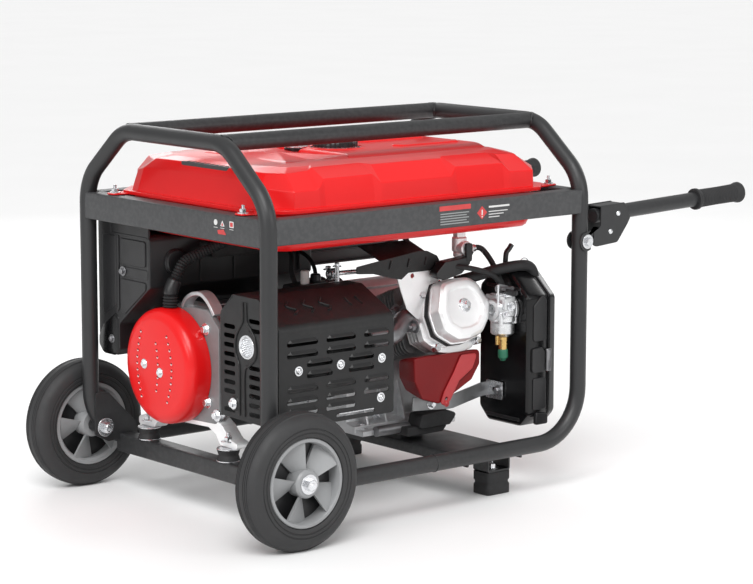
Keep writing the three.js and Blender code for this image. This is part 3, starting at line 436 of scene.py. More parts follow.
MATERIALS, SLOTS = {}, {}
BANDS_PER_METRE = 3.18      # how often a wave texture of scale 1 repeats


class Nodes:
    """The shader nodes of one material, all fed by the piece's own coordinates."""

    def __init__(self, tree):
        self.tree, self.link = tree, tree.links.new
        tree.nodes.clear()
        out = self.node("ShaderNodeOutputMaterial")
        self.shader = self.node("ShaderNodeBsdfPrincipled")
        self.link(self.shader.outputs["BSDF"], out.inputs["Surface"])
        self.place = self.node("ShaderNodeTexCoord")

    def node(self, kind, **settings):
        made = self.tree.nodes.new(kind)
        for key, value in settings.items():
            setattr(made, key, value)
        return made

    def noise(self, scale, detail):
        made = self.node("ShaderNodeTexNoise")
        made.inputs["Scale"].default_value = scale
        made.inputs["Detail"].default_value = detail
        made.inputs["Roughness"].default_value = 0.55
        self.link(self.place.outputs["Object"], made.inputs["Vector"])
        return made.outputs["Fac"]

    def spread(self, source, low, high, start=0.3, stop=0.7):
        """Carries values between start and stop onto low to high."""
        made = self.node("ShaderNodeMapRange")
        made.inputs["From Min"].default_value = start
        made.inputs["From Max"].default_value = stop
        made.inputs["To Min"].default_value = low
        made.inputs["To Max"].default_value = high
        self.link(source, made.inputs["Value"])
        return made.outputs["Result"]

    def mix(self, source, first, second):
        made = self.node("ShaderNodeMix", data_type="RGBA")
        self.link(source, made.inputs["Factor"])
        for socket, value in ((made.inputs["A"], first), (made.inputs["B"], second)):
            if isinstance(value, tuple):
                socket.default_value = (*value, 1)
            else:
                self.link(value, socket)
        return made.outputs["Result"]

    def mottled(self, colour, tint, patches):
        """The colour in slightly darker and lighter patches."""
        dark = tuple(c * (1 - tint) for c in colour)
        light = tuple(min(1.0, c * (1 + tint)) for c in colour)
        return self.mix(self.spread(self.noise(patches, 5.0), 0, 1), dark, light)

    def bands(self, axis, pitch):
        """Waves along an axis, a pitch apart in millimetres."""
        wave = self.node("ShaderNodeTexWave", bands_direction=axis)
        wave.inputs["Scale"].default_value = 1 / (pitch * MM) / BANDS_PER_METRE
        self.link(self.place.outputs["Object"], wave.inputs["Vector"])
        return wave.outputs["Fac"]

    def worn_edges(self, shade, worn, amount):
        """A second colour in broken spots along the outer edges."""
        edge = self.node("ShaderNodeNewGeometry")
        high_spots = self.spread(edge.outputs["Pointiness"], 0, amount, 0.53, 0.62)
        broken = self.node("ShaderNodeMath", operation="MULTIPLY")
        self.link(high_spots, broken.inputs[0])
        self.link(self.spread(self.noise(140.0, 6.0), 0, 1, 0.42, 0.62), broken.inputs[1])
        return self.mix(broken.outputs[0], shade, worn)

    def bump(self, relief, depth):
        bump = self.node("ShaderNodeBump")
        bump.inputs["Strength"].default_value = 1.0
        bump.inputs["Distance"].default_value = depth
        self.link(relief, bump.inputs["Height"])
        self.link(bump.outputs["Normal"], self.shader.inputs["Normal"])


def make_material(name, slot, colour, roughness, metallic=0.0, tint=0.1, patches=9.0, grain=900.0,
                  grain_depth=0.00008, rough_spread=0.08, coat=0.0, coat_roughness=0.1, specular=0.5,
                  wear=None, stripes=None, sheen=0.0):
    """A material with mottled colour, uneven gloss and a fine relief.

    wear is (colour, amount) for its edges; stripes is (axis, pitch, depth, groove colour).
    """
    material = bpy.data.materials.new(name)
    material.use_nodes = True
    nodes = Nodes(material.node_tree)
    shader = nodes.shader
    shader.inputs["Metallic"].default_value = metallic
    shader.inputs["Coat Weight"].default_value = coat
    shader.inputs["Coat Roughness"].default_value = coat_roughness
    shader.inputs["Specular IOR Level"].default_value = specular
    shader.inputs["Sheen Weight"].default_value = sheen
    shade = nodes.mottled(colour, tint, patches)
    relief = nodes.noise(grain, 2.0)
    if stripes:
        axis, pitch, grain_depth, groove = stripes
        relief = nodes.bands(axis, pitch)
        shade = nodes.mix(nodes.spread(relief, 0.0, 1.0, 0.15, 0.6), groove, shade)
    if wear:
        shade = nodes.worn_edges(shade, *wear)
    nodes.link(shade, shader.inputs["Base Color"])
    uneven = nodes.noise(patches * 3.7, 6.0)
    half = rough_spread / 2
    nodes.link(nodes.spread(uneven, roughness - half, roughness + half), shader.inputs["Roughness"])
    nodes.bump(relief, grain_depth)
    MATERIALS[name], SLOTS[name] = material, slot


def make_paints():
    """Paints and enamels."""
    make = make_material
    make("charcoal_paint", "frame_black", (0.018, 0.0185, 0.0195), 0.42, patches=7, grain=1400,
         grain_depth=0.00003, rough_spread=0.10, wear=((0.07, 0.07, 0.072), 0.3))
    make("band_paint", "band_grey", (0.040, 0.041, 0.043), 0.50, tint=0.08, patches=6, grain=1600,
         grain_depth=0.00003, wear=((0.1, 0.1, 0.1), 0.3))
    make("red_enamel", "red_gloss", (0.70, 0.007, 0.008), 0.33, tint=0.05, patches=5, grain=420,
         grain_depth=0.000010, rough_spread=0.06, coat=0.18, specular=0.3)
    make("heat_paint", "heat_black", (0.0135, 0.0135, 0.014), 0.40, tint=0.22, patches=16, grain=1500,
         rough_spread=0.16, specular=0.35, wear=((0.05, 0.048, 0.046), 0.4))


def make_castings():
    """Cast and machined metal."""
    make = make_material
    make("cast_metal", "cast_alu", (0.62, 0.63, 0.64), 0.44, metallic=0.8, tint=0.12, patches=30,
         grain=1300, grain_depth=0.00010, rough_spread=0.18, wear=((0.85, 0.85, 0.86), 0.6))
    make("machined_metal", "cast_alu", (0.72, 0.73, 0.74), 0.30, metallic=0.95, tint=0.08, patches=40,
         grain=2600, grain_depth=0.00005, rough_spread=0.14)
    # Cast aluminium coloured much darker: painted shade, used on the alternator's end plate and on the
    # barrel's cooling fins.
    make("shaded_cast_metal", "cast_alu", (0.23, 0.235, 0.24), 0.46, metallic=0.35, tint=0.12, patches=24,
         grain=1300, grain_depth=0.00018, rough_spread=0.14, wear=((0.5, 0.5, 0.5), 0.4))
    make("white_metal", "bright_steel", (0.92, 0.925, 0.93), 0.33, metallic=0.45, tint=0.04, patches=24,
         grain_depth=0.00002, rough_spread=0.10)


def make_metals():
    """Plated and plain metal."""
    make = make_material
    make("zinc", "bright_steel", (0.74, 0.75, 0.77), 0.24, metallic=0.95, patches=60, grain=1800,
         grain_depth=0.00002, rough_spread=0.14)
    make("dull_zinc", "bright_steel", (0.28, 0.285, 0.29), 0.36, metallic=0.85, patches=40, grain=1500,
         rough_spread=0.14)
    make("steel", "dark_steel", (0.28, 0.28, 0.29), 0.36, metallic=0.9, tint=0.14, patches=30, grain=1700,
         rough_spread=0.16)
    make("lamination", "dark_steel", (0.17, 0.17, 0.18), 0.48, metallic=0.8, tint=0.15, patches=30,
         rough_spread=0.15, stripes=("X", 2.4, 0.00025, (0.05, 0.05, 0.052)))
    make("copper", "winding_copper", (0.42, 0.17, 0.07), 0.35, metallic=0.9, tint=0.2, patches=40,
         stripes=("X", 3.2, 0.0006, (0.16, 0.06, 0.03)))
    make("brass", "bright_steel", (0.62, 0.42, 0.16), 0.26, metallic=1.0, tint=0.12, patches=60,
         grain=1800, grain_depth=0.00005)


def make_rubbers():
    """Rubber and rope."""
    make = make_material
    make("rubber", "rubber_black", (0.019, 0.019, 0.020), 0.66, tint=0.18, patches=22, grain=1900,
         grain_depth=0.00010, rough_spread=0.14, specular=0.4)
    make("tyre", "tyre_rubber", (0.024, 0.024, 0.025), 0.60, tint=0.15, patches=12, grain=1500,
         grain_depth=0.00012, rough_spread=0.14, specular=0.45)
    make("rope", "rubber_black", (0.05, 0.05, 0.052), 0.8, tint=0.2, patches=80, grain=2400,
         grain_depth=0.0003, sheen=0.3)


def make_plastics():
    """Moulded plastics."""
    make = make_material
    make("plastic", "plastic_black", (0.013, 0.013, 0.014), 0.36, tint=0.2, patches=14, grain=1500,
         grain_depth=0.00009, rough_spread=0.10)
    make("gloss_plastic", "plastic_black", (0.0045, 0.0045, 0.005), 0.22, tint=0.3, patches=14, grain=600,
         grain_depth=0.00002, specular=0.35)
    make("hub_plastic", "hub_grey", (0.26, 0.265, 0.27), 0.42, tint=0.08, patches=16, grain=1700,
         rough_spread=0.10)
    make("red_plastic", "red_gloss", (0.40, 0.026, 0.030), 0.38, tint=0.08, grain=1100,
         grain_depth=0.00006, rough_spread=0.10, coat=0.1)
    # A darker copy of the red plastic: painted shade, used on the air scoop under the cylinder and inside the
    # cover's vent holes.
    make("shaded_red_plastic", "red_gloss", (0.16, 0.002, 0.003), 0.42, tint=0.12, patches=10, grain=1100,
         grain_depth=0.00006, rough_spread=0.10, specular=0.3)
    make("grey_plastic", "plastic_black", (0.10, 0.102, 0.105), 0.42, patches=30)
    make("grey_apron", "plastic_black", (0.042, 0.042, 0.044), 0.46, patches=18)
    make("green_plastic", "plastic_black", (0.010, 0.115, 0.062), 0.38, tint=0.15, patches=50)
    make("clear_dial", "plastic_black", (0.50, 0.50, 0.48), 0.10, tint=0.05, patches=60, coat=1.0,
         coat_roughness=0.03)
    make("ceramic_white", "plastic_black", (0.6, 0.6, 0.58), 0.3, tint=0.05, patches=60)


def make_prints():
    """Printed marks."""
    make = make_material
    make("print_white", "band_grey", (0.62, 0.62, 0.61), 0.5, tint=0.06, patches=60)
    make("print_grey", "band_grey", (0.26, 0.27, 0.27), 0.5, tint=0.06, patches=60)
    make("print_red", "band_grey", (0.52, 0.045, 0.045), 0.5, tint=0.08, patches=60)


# ---------------------------------------------------------------- dimensions shared by the parts

TUBE_R = 14
HALF_LENGTH = 335
HALF_WIDTH = 251
RAIL_Z = 80
SHOULDER_Z = 532
CROWN_Z = 622
CROWN_HALF = 141
SEAM_X = 5
TOP_RAIL_Y = 128
BAND_TOP = 512
BAND_OUT = 11.5
BEAM_LEFT_X, BEAM_LEFT_Z = (-288, -256), (58, 90)
BEAM_RIGHT_X, BEAM_RIGHT_Z = (88, 208), (60, 78)
FOOT_X, FOOT_Y, FOOT_WEB = (158, 208), (180, 218), 35
SHEET = 3
WHEEL_R, WHEEL_X, WHEEL_Z = 110.5, -318, 105.5
TYRE_Y = (271, 327)
RIM_R = 71.5
PIVOT_X, PIVOT_Z = 337, 423
ARM_START, ARM_END = Vector((366, 251, 463.5)), Vector((714, 267, 480.5))
TANK_X, TANK_Y = 304, 218
GAUGE_AT = (-52, 40)
ROPE_AT = (150, 288)
CRANK_Y, CRANK_Z = 80, 232
CRANK = (CRANK_Y, CRANK_Z)
SHAFT = (0, *CRANK)
SIDES = (("front", -1), ("rear", 1))
ENDS = (("left", -1), ("right", 1))
CORNERS = [(end, side) for end in (-1, 1) for side in (-1, 1)]


def about_shaft(turn):
    """Matrix for a shape set on the crankshaft's axis and turned about it, in radians."""
    return facing("x", SHAFT) @ Matrix.Rotation(turn, 4, "Z")


# ---------------------------------------------------------------- tubular frame

def hoop_path(end):
    x, seam = end * HALF_LENGTH, SEAM_X + end * 0.4
    return bent([
        (seam, -HALF_WIDTH, RAIL_Z), (x, -HALF_WIDTH, RAIL_Z, 90), (x, -HALF_WIDTH, SHOULDER_Z, 80),
        (x, -CROWN_HALF, CROWN_Z, 80), (x, CROWN_HALF, CROWN_Z, 80), (x, HALF_WIDTH, SHOULDER_Z, 80),
        (x, HALF_WIDTH, RAIL_Z, 90), (seam, HALF_WIDTH, RAIL_Z),
    ], 12)


BEAD_R, SEAM_BEAD_R = 1.7, 1.1


def weld_bead(form, path, size):
    """A rippled bead of weld along a closed path."""
    form.tube(path, lambda t: size * (1 + 0.16 * math.sin(t * len(path) * 1.9)), sides=8, closed=True)


def saddle(centre, along, r, big, up, steps=48):
    """Where a tube of radius r running along one axis meets a tube of radius big that crosses it."""
    centre, along, up = Vector(centre), Vector(along), Vector(up)
    side = along.cross(up)
    points = []
    for k in range(steps):
        t = 2 * math.pi * k / steps
        lift = r * math.sin(t)
        reach = math.sqrt(max(0.0, big ** 2 - min(big, abs(lift)) ** 2))
        points.append(centre + along * reach + side * r * math.cos(t) + up * lift)
    return points


def frame_tubes():
    for name, end in ENDS:
        form = Form().tube(hoop_path(end), TUBE_R, sides=32)
        form.build(f"frame_hoop_{name}", "charcoal_paint", replaces=f"hoop_{name}")
    for name, side in SIDES:
        y = side * TOP_RAIL_Y
        form = Form().tube([(-HALF_LENGTH, y, CROWN_Z), (HALF_LENGTH, y, CROWN_Z)], TUBE_R - 0.2, sides=32)
        form.build(f"frame_top_rail_{name}", "charcoal_paint", replaces=f"top_rail_{name}")


def frame_welds():
    """Beads where the top rails meet the crowns, and round the seams of the bottom rails."""
    beads = Form()
    for end, side in CORNERS:
        centre = (end * HALF_LENGTH, side * TOP_RAIL_Y, CROWN_Z)
        path = saddle(centre, (-end, 0, 0), TUBE_R, TUBE_R, (0, 0, 1))
        for spot in path:
            spot.z = min(spot.z, CROWN_Z + TUBE_R - BEAD_R * 1.2)
        weld_bead(beads, path, BEAD_R)
    turns = [2 * math.pi * k / 40 for k in range(40)]
    for side in (-1, 1):
        ring = [Vector((SEAM_X, side * HALF_WIDTH + TUBE_R * math.cos(t), RAIL_Z + TUBE_R * math.sin(t)))
                for t in turns]
        weld_bead(beads, ring, SEAM_BEAD_R)
    beads.build("frame_welds", "charcoal_paint")


def axle_gussets():
    """Plates inside the hoops with a bush each for the axles."""
    form = Form()
    for side in (-1, 1):
        inner = side * (HALF_WIDTH - TUBE_R)
        outline = rounded([
            (WHEEL_X - 20, WHEEL_Z - 12), (WHEEL_X + 6, WHEEL_Z - 26), (WHEEL_X + 68, WHEEL_Z - 22),
            (WHEEL_X + 64, WHEEL_Z + 2), (WHEEL_X + 8, WHEEL_Z + 60), (WHEEL_X - 18, WHEEL_Z + 62),
        ], 7)
        form.prism(outline, "y", (inner - 3 * side, inner + side))
        outer = side * (HALF_WIDTH + TUBE_R + 2)
        form.ring(8.4, 13, "y", (inner - 3.4 * side, outer), (WHEEL_X, WHEEL_Z))
    form.build("frame_axle_gussets", "charcoal_paint", bevel=0.8)


def channel_outline(top, height, flange, lip, thick, bend=4.0):
    """Section of a folded band: flange on top, web outside, short lip underneath."""
    u0, u1, v0, v1 = 0.0, -flange, top - height, top
    outer = [(-lip, v0), (u0, v0), (u0, v1), (u1, v1)]
    inner = [(u1, v1 - thick), (-thick, v1 - thick), (-thick, v0 + thick), (-lip, v0 + thick)]
    edge, inside = 0.6, bend - thick + 0.8
    return rounded(outer + inner, [edge, bend, bend, edge, edge, inside, inside, edge], 4)


def bands():
    for spots, half, length, height, axis in (
        (SIDES, HALF_WIDTH, HALF_LENGTH, 41, "x"),
        (ENDS, HALF_LENGTH, HALF_WIDTH, 45, "y"),
    ):
        section = channel_outline(BAND_TOP, height, flange=30, lip=12, thick=3)
        for name, sign in spots:
            outline = [(sign * (half + BAND_OUT + u), v) for u, v in section]
            form = Form().prism(outline, axis, (1 - length, length - 1))
            form.build(f"frame_band_{name}", "band_paint", replaces=f"band_{name}", angle=50)


def cross_beams():
    form = Form().prism(box_outline(BEAM_LEFT_X, BEAM_LEFT_Z, 4), "y", (-HALF_WIDTH + 8, HALF_WIDTH - 8))
    form.build("frame_beam_left", "charcoal_paint", replaces="beam_left", angle=50)
    (x0, x1), (z0, z1), t = BEAM_RIGHT_X, BEAM_RIGHT_Z, SHEET
    section = rounded([
        (x0 - 3, z0), (x0 + 1, z0), (x0 + 5, z1 - t - 2), (x1 - 5, z1 - t - 2), (x1 - 1, z0), (x1 + 3, z0),
        (x1 + 1, z1), (x0 - 1, z1),
    ], [1, 1, 4, 4, 1, 1, 5, 5])
    form = Form().prism(section, "y", (-HALF_WIDTH + 6, HALF_WIDTH - 6))
    (x0, x1), top = FOOT_X, z1 - 2
    bracket = rounded([
        (x0, top), (x0, FOOT_WEB), (x1, FOOT_WEB), (x1, top),
        (x1 - t, top), (x1 - t, FOOT_WEB + t), (x0 + t, FOOT_WEB + t), (x0 + t, top),
    ], [0, 4, 4, 0, 0, 2, 2, 0])
    for side in (-1, 1):
        form.prism(bracket, "y", (side * FOOT_Y[0], side * FOOT_Y[1]))
    form.build("frame_beam_right", "charcoal_paint", replaces="beam_right", angle=50)


def rubber_feet():
    nuts = Form()
    for side in (-1, 1):
        centre = (sum(FOOT_X) / 2, side * sum(FOOT_Y) / 2)
        nuts.bolt((*centre, FOOT_WEB + SHEET), "z", across=13, head=7, stud=5)
    nuts.build("foot_nuts", "zinc")
    x = (FOOT_X[0] - 1, FOOT_X[1] + 1)
    levels = [(FLOOR_Z, 0.8), (1.5 + FLOOR_Z, 0), (11, 0), (14, 1.5), (17, 1.5), (20, 0), (FOOT_WEB - 0.3, 0)]
    for name, side in SIDES:
        y = sorted(side * (value + extra) for value, extra in zip(FOOT_Y, (-1, 1)))
        rings = []
        for z, inset in levels:
            outline = box_outline((x[0] + inset, x[1] - inset), (y[0] + inset, y[1] - inset), 6, 5)
            rings.append([(u, v, z) for u, v in outline])
        Form().rings(rings).build(f"rubber_foot_{name}", "rubber", replaces=f"foot_pad_{name}", bevel=0.7)


# ---------------------------------------------------------------- wheels and axles

def tyre_profile(half):
    """Half of a tyre section mirrored: ribbed side wall, rounded shoulder, grooved tread."""
    side = [(RIM_R + 0.3, half - 5), (RIM_R + 1.5, half - 2), (RIM_R + 4, half - 0.5), (79, half),
            (79.6, half - 1.1), (81.0, half - 1.1), (81.6, half), (85.2, half), (85.8, half - 1.1),
            (87.2, half - 1.1), (87.8, half), (93, half - 0.8), (98, half - 2.6), (102, half - 5.2),
            (105.4, half - 9), (107.6, half - 13)]
    tread = []
    for mid in (13.2, 9.4, 5.6):
        crown = WHEEL_R - (mid / 16) ** 2 * 1.6
        tread += [(crown, mid + 0.9), (crown - 1.5, mid + 0.5), (crown - 1.5, mid - 0.5), (crown, mid - 0.9)]
    upper = side + tread + [(WHEEL_R, 2.5)]
    return upper + [(r, -w) for r, w in reversed(upper)]


def hub_vane(form, turn, side, half, wheel_side):
    """One broad blade of the hub, twisted from its face at one edge to the middle web at the other."""
    inner, outer, sweep = 20, RIM_R - 7, math.radians(43)
    steps, thick = 8, 5.0
    rings = []
    for k in range(steps + 1):
        t = k / steps
        ring = []
        drop = 4 + 17 * t ** 1.1
        for r in (inner, (inner + outer) / 2, outer):
            angle = turn + sweep * t
            ring.append((r * math.cos(angle), r * math.sin(angle), half - drop))
        back = [(x, y, z - thick) for x, y, z in reversed(ring)]
        rings.append(ring + back)
    middle = math.copysign(sum(TYRE_Y) / 2, wheel_side)
    form.rings(rings, matrix=facing((0, side, 0), (WHEEL_X, middle, WHEEL_Z)))


def wheel(name, side):
    """Tyre, web and five-spoked hub of one wheel, all on its own body."""
    half = (TYRE_Y[1] - TYRE_Y[0]) / 2
    centre = (WHEEL_X, side * sum(TYRE_Y) / 2, WHEEL_Z)
    place = facing((0, side, 0), centre)
    body = f"wheel_{name}"
    tyre = Form().lathe(tyre_profile(half) + [(RIM_R + 0.3, half - 5)], "y", centre, 96)
    tyre.build(f"tyre_{name}", "tyre", body, replaces=f"tyre_{name}", angle=28)
    hub = Form()
    rim = [(RIM_R, half - 4), (RIM_R - 1.2, half - 2.6), (RIM_R - 5.4, half - 2.6), (RIM_R - 6.6, half - 4),
           (RIM_R - 8.5, 8), (RIM_R - 9.5, -half + 8), (RIM_R - 6, -half + 4), (RIM_R, -half + 4)]
    hub.lathe(rim + rim[:1], matrix=place, steps=72)
    boss = [(8.3, half + 2.2), (17, half + 2.2), (20.5, half + 1.4), (23, half - 2), (23, -half + 2),
            (21, -half - 1.5), (8.3, -half - 1.5)]
    hub.lathe(boss + boss[:1], matrix=place, steps=48)
    for k in range(5):
        for outward in (side, -side):
            hub_vane(hub, 2 * math.pi * k / 5 + 0.35, outward, half, side)
    # A dark web in the middle of the grey hub: painted shade seen through the gaps between the vanes.
    web = [(20, 1.5), (RIM_R - 8, 1.5), (RIM_R - 8, -1.5), (20, -1.5), (20, 1.5)]
    Form().lathe(web, matrix=place, steps=48).build(f"hub_shade_web_{name}", "plastic", body)
    hub.build(f"hub_{name}", "hub_plastic", body, replaces=f"hub_{name}", angle=35)


def axle(name, side):
    """An axle bolt with its head, the dimple in the head, and the nut inside the gusset."""
    form = Form()
    face, dimple = side * (TYRE_Y[1] + 2.6), side * 339.6
    outward, inward = (0, side, 0), (0, -side, 0)
    form.rod(7.8, "y", (side * 219, face), (WHEEL_X, WHEEL_Z))
    form.bolt((WHEEL_X, face, WHEEL_Z), outward, across=17, head=8.5)
    form.lathe([(0, 0), (4, 0), (3.4, 0.8), (0, 0.8)], outward, (WHEEL_X, dimple, WHEEL_Z))
    form.bolt((WHEEL_X, side * 233, WHEEL_Z), inward, across=17, head=9, stud=3)
    form.build(f"axle_{name}", "zinc", replaces=f"axle_{name}", angle=30)


def wheels():
    for name, side in SIDES:
        wheel(name, side)
        axle(name, side)


# ---------------------------------------------------------------- folding handles

def handle_arm(name, side, start, end):
    """The U-shaped bracket with its tube, the weld round the tube and two rivets."""
    body = f"handle_{name}"
    along = (end - start).normalized()
    arm = Form()
    outline = rounded([
        (338, 438), (354, 412), (409, 416), (433, 446), (440, 457), (425, 484), (369, 482), (369, 446),
    ], [12, 12, 10, 8, 6, 3, 3, 6])
    outline = arc((PIVOT_X, PIVOT_Z), 16.6, 120, 300, 14) + [p for p in outline if p[0] > 352]
    for y0, y1 in ((265.3, 268.3), (233.7, 236.7)):
        arm.prism(outline, "y", (side * y0, side * y1))
    bridge = rounded([(370, 481), (424, 483), (439, 458), (434, 456), (421, 479.5), (370, 478)], 1.5)
    arm.prism(bridge, "y", (side * 234.5, side * 267.5))
    arm.tube([start, end - along * 2], 12.8, sides=28)
    arm.build(f"handle_arm_{name}", "charcoal_paint", body, replaces=f"handle_arm_{name}", bevel=0.7)
    bead = Form()
    turns = [2 * math.pi * k / 40 for k in range(40)]
    ring = [start + along * 50 + Vector((0, side * 13 * math.cos(t), 13 * math.sin(t))) for t in turns]
    weld_bead(bead, ring, 1.4)
    bead.build(f"handle_weld_{name}", "charcoal_paint", body)
    rivets = Form()
    for x, z in ((392, 436), (410, 466)):
        head = [(0, 0), (4.6, 0), (4.2, 1.4), (2.6, 2.4), (0, 2.8)]
        rivets.lathe(head, (0, side, 0), (x, side * 268.2, z), 20)
    rivets.build(f"handle_rivets_{name}", "zinc", body, angle=50)


def handle_grip(name, end, along):
    """A ribbed rubber sleeve with a collar at each end, closed over the tube's tip."""
    profile = [(12.9, 0), (18.4, 0), (19, 1), (19, 6), (18.2, 7), (16.4, 8)]
    ribs, pitch = 22, 3.8
    for k in range(ribs):
        at = 12 + k * pitch
        r = 16.2 - 0.5 * math.sin(math.pi * k / ribs)
        profile += [(r, at), (r - 0.7, at + 0.5), (r - 0.7, at + 1.3), (r, at + 1.8)]
    profile += [(16.2, 97), (17.2, 100), (18.4, 104), (18.6, 108), (17.6, 110.4), (14, 112), (0, 112.4)]
    profile += [(0, 100), (12.9, 100), (12.9, 0)]
    grip = Form().lathe(profile, along, end - along * 110, 36)
    grip.build(f"handle_grip_{name}", "rubber", f"handle_{name}", replaces=f"handle_grip_{name}", angle=40)


def handle_pivot(name, side):
    bolt = Form().rod(6.8, "y", (side * 226, side * 268), (PIVOT_X, PIVOT_Z))
    bolt.bolt((PIVOT_X, side * 268.5, PIVOT_Z), (0, side, 0), across=13, head=5.4)
    bolt.bolt((PIVOT_X, side * 233.4, PIVOT_Z), (0, -side, 0), across=13, head=6.5, stud=2)
    bolt.build(f"handle_pivot_{name}", "zinc", replaces=f"handle_bolt_{name}", angle=30)


def handles():
    for name, side in SIDES:
        mirrored = Vector((1, side, 1))
        start, end = ARM_START * mirrored, ARM_END * mirrored
        handle_arm(name, side, start, end)
        handle_grip(name, end, (end - start).normalized())
        handle_pivot(name, side)


# ---------------------------------------------------------------- fuel tank

def tank_side(side):
    """Front or rear edge of the tank from left to right: base, crease and shoulder points."""
    steps = [(-257, 547, 188, 573), (-214, 547, 187, 575), (-206, 551, 184, 576), (-194, 563, 176, 578.5),
             (-93, 564, 175, 579), (-78, 549, 189, 577), (72, 549, 189, 577), (86, 564, 174, 578.5),
             (190, 563, 172, 578), (204, 548, 182, 575.5), (256, 547, 174, 572)]
    columns = []
    for x, crease, shoulder_y, shoulder_z in steps:
        lean = 1.5 if crease < 555 else 6.5
        columns.append([(x, side * TANK_Y, 518), (x, side * (TANK_Y - lean), crease),
                        (x * 0.985, side * shoulder_y, shoulder_z)])
    return columns


def tank_right_end():
    return [[(298, -174, 518), (294, -172, 549), (268, -150, 571)],
            [(TANK_X, -150, 518), (300, -149, 548), (272, -136, 572)],
            [(TANK_X, -70, 518), (300, -70, 552), (273, -66, 573)],
            [(TANK_X, 70, 518), (300, 70, 552), (273, 66, 573)],
            [(TANK_X, 150, 518), (300, 149, 548), (272, 136, 572)],
            [(298, 174, 518), (294, 172, 549), (268, 150, 571)]]


def tank_left_end():
    return [[(-298, 174, 518), (-286, 172, 552), (-268, 152, 570)],
            [(-303, 150, 518), (-291, 148, 558), (-284, 122, 575)],
            [(-303, 90, 518), (-292, 90, 560), (-285, 88, 576)],
            [(-303, -90, 518), (-292, -90, 560), (-285, -88, 576)],
            [(-303, -150, 518), (-291, -148, 558), (-284, -108, 575)],
            [(-298, -174, 518), (-288, -172, 551), (-266, -150, 572)]]


def tank_shell():
    columns = tank_side(-1) + tank_right_end() + tank_side(1)[::-1] + tank_left_end()
    rings = [[column[k] for column in columns] for k in range(3)]
    base = [(x * 0.995, y * 0.99, 512.4) for x, y, _ in rings[0]]
    inner = [(x * 0.9, y * 0.86, 579.5) for x, y, _ in rings[2]]
    shell = Form().rings([base] + rings + [inner])
    shell.build("tank_shell", "red_enamel", replaces="tank_upper", bevel=1.6, angle=5)


def tank_rim():
    """The seam flange between the two pressings, with a bolted tab at each corner."""
    lip = Form()
    outline = rounded([(-311, -182), (-266, -225), (266, -225), (311, -182),
                       (311, 182), (266, 225), (-266, 225), (-311, 182)], 14)
    lip.prism(outline, "z", (512.4, 518.8))
    for end, side in CORNERS:
        tab = rounded([(end * 300, side * 194), (end * 340, side * 190), (end * 340, side * 166),
                       (end * 300, side * 162)], [0, 9, 9, 0])
        lip.prism(tab, "z", (512.6, 515.4))
    lip.build("tank_rim", "red_enamel", bevel=1.2, angle=40)
    bolts = Form()
    for end, side in CORNERS:
        bolts.bolt((end * 329, side * 178, 515.4), "z", stud=6)
    bolts.build("tank_bolts", "zinc", angle=30)


def tank_pad():
    """Raised panels pressed into the top of the tank."""
    pad = Form()
    foot, top = 574.0, 586.2
    wide = [(-66, -121), (243, -121), (268, -88), (268, 88), (243, 121), (-66, 121)]
    slim = [(-60, -108), (236, -108), (254, -80), (254, 80), (236, 108), (-60, 108)]
    pad.rings([[(x, y, foot) for x, y in wide], [(x, y, top - 3) for x, y in slim],
               [(x * 0.96 + 3, y * 0.94, top - 1) for x, y in slim]])
    rim = [(-190, -110, 582), (-124, -96, 578.4), (-64, -108, 584), (-76, 0, 579.5),
           (-64, 108, 584), (-124, 96, 578.4), (-190, 110, 582), (-178, 0, 579)]
    lower = [(-200, -120, foot), (-124, -124, foot), (-56, -120, foot), (-52, 0, foot),
             (-56, 120, foot), (-124, 124, foot), (-200, 120, foot), (-204, 0, foot)]
    count = len(rim)
    verts = lower + rim + [(-124, 0, 584.5)]
    faces = [[k, (k + 1) % count, count + (k + 1) % count, count + k] for k in range(count)]
    faces += [[count + k, count + (k + 1) % count, 2 * count] for k in range(count)]
    faces.append(list(range(count))[::-1])
    pad.add(verts, faces)
    for side in (-1, 1):
        bar = [(96, side * 30), (226, side * 30), (238, side * 46), (226, side * 64), (96, side * 64),
               (84, side * 46)]
        bar = bar if side > 0 else bar[::-1]
        lifted = [(161 + (x - 161) * 0.93, side * 47 + (y - side * 47) * 0.78) for x, y in bar]
        pad.rings([[(x, y, 583) for x, y in bar], [(x, y, 588) for x, y in lifted]])
    pad.build("tank_top_panels", "red_enamel", bevel=2.0, angle=7)


def tank_recess():
    """A dark slatted patch at the left end of the tank's top: painted shade under the edge of the raised
    panel.
    """
    recess = Form()
    opening = rounded([(-287.4, -84), (-262, -78), (-262, 44), (-287.4, 50)], 6)
    recess.prism(opening, "z", (570, 576.6))
    for k in range(9):
        y = -70 + k * 13
        recess.block((-284, -266), (y - 2, y + 2), (575, 577.4))
    recess.build("tank_shade_recess", "band_paint", bevel=0.6)


def tank_bottom():
    levels = [(450, 20, 14), (454, 12, 8), (461, 6, 4), (472, 2, 1.5), (480, 0, 0), (497, 0, 0),
              (500, -1.2, -1.2), (504, -1.2, -1.2), (507, 0, 0), (512, 0, 0)]
    rings = []
    for z, dx, dy in levels:
        outline = rounded([(-296 + dx, -170), (-254, -212 + dy), (254, -212 + dy), (296 - dx, -170),
                           (296 - dx, 170), (254, 212 - dy), (-254, 212 - dy), (-296 + dx, 170)], 26)
        rings.append([(x, y, z) for x, y in outline])
    Form().rings(rings).build("tank_lower_shell", "red_enamel", replaces="tank_lower", angle=50)


def filler():
    collar = Form()
    collar.lathe([(30, 576), (54, 576), (54, 584), (51, 586.6), (46, 586.8), (44, 583), (38, 582), (37, 586),
                  (33, 586), (30, 583), (30, 576)], steps=64)
    collar.build("filler_collar", "red_enamel", angle=40)
    Form().ring(38.4, 43.6, "z", (581, 585.5), steps=56).build("filler_gasket", "rubber")
    neck = [(31, 570), (36.4, 570), (36.4, 588.4), (35, 589.2), (31, 589.2), (31, 570)]
    Form().lathe(neck, steps=56).build("filler_neck", "zinc", angle=40)


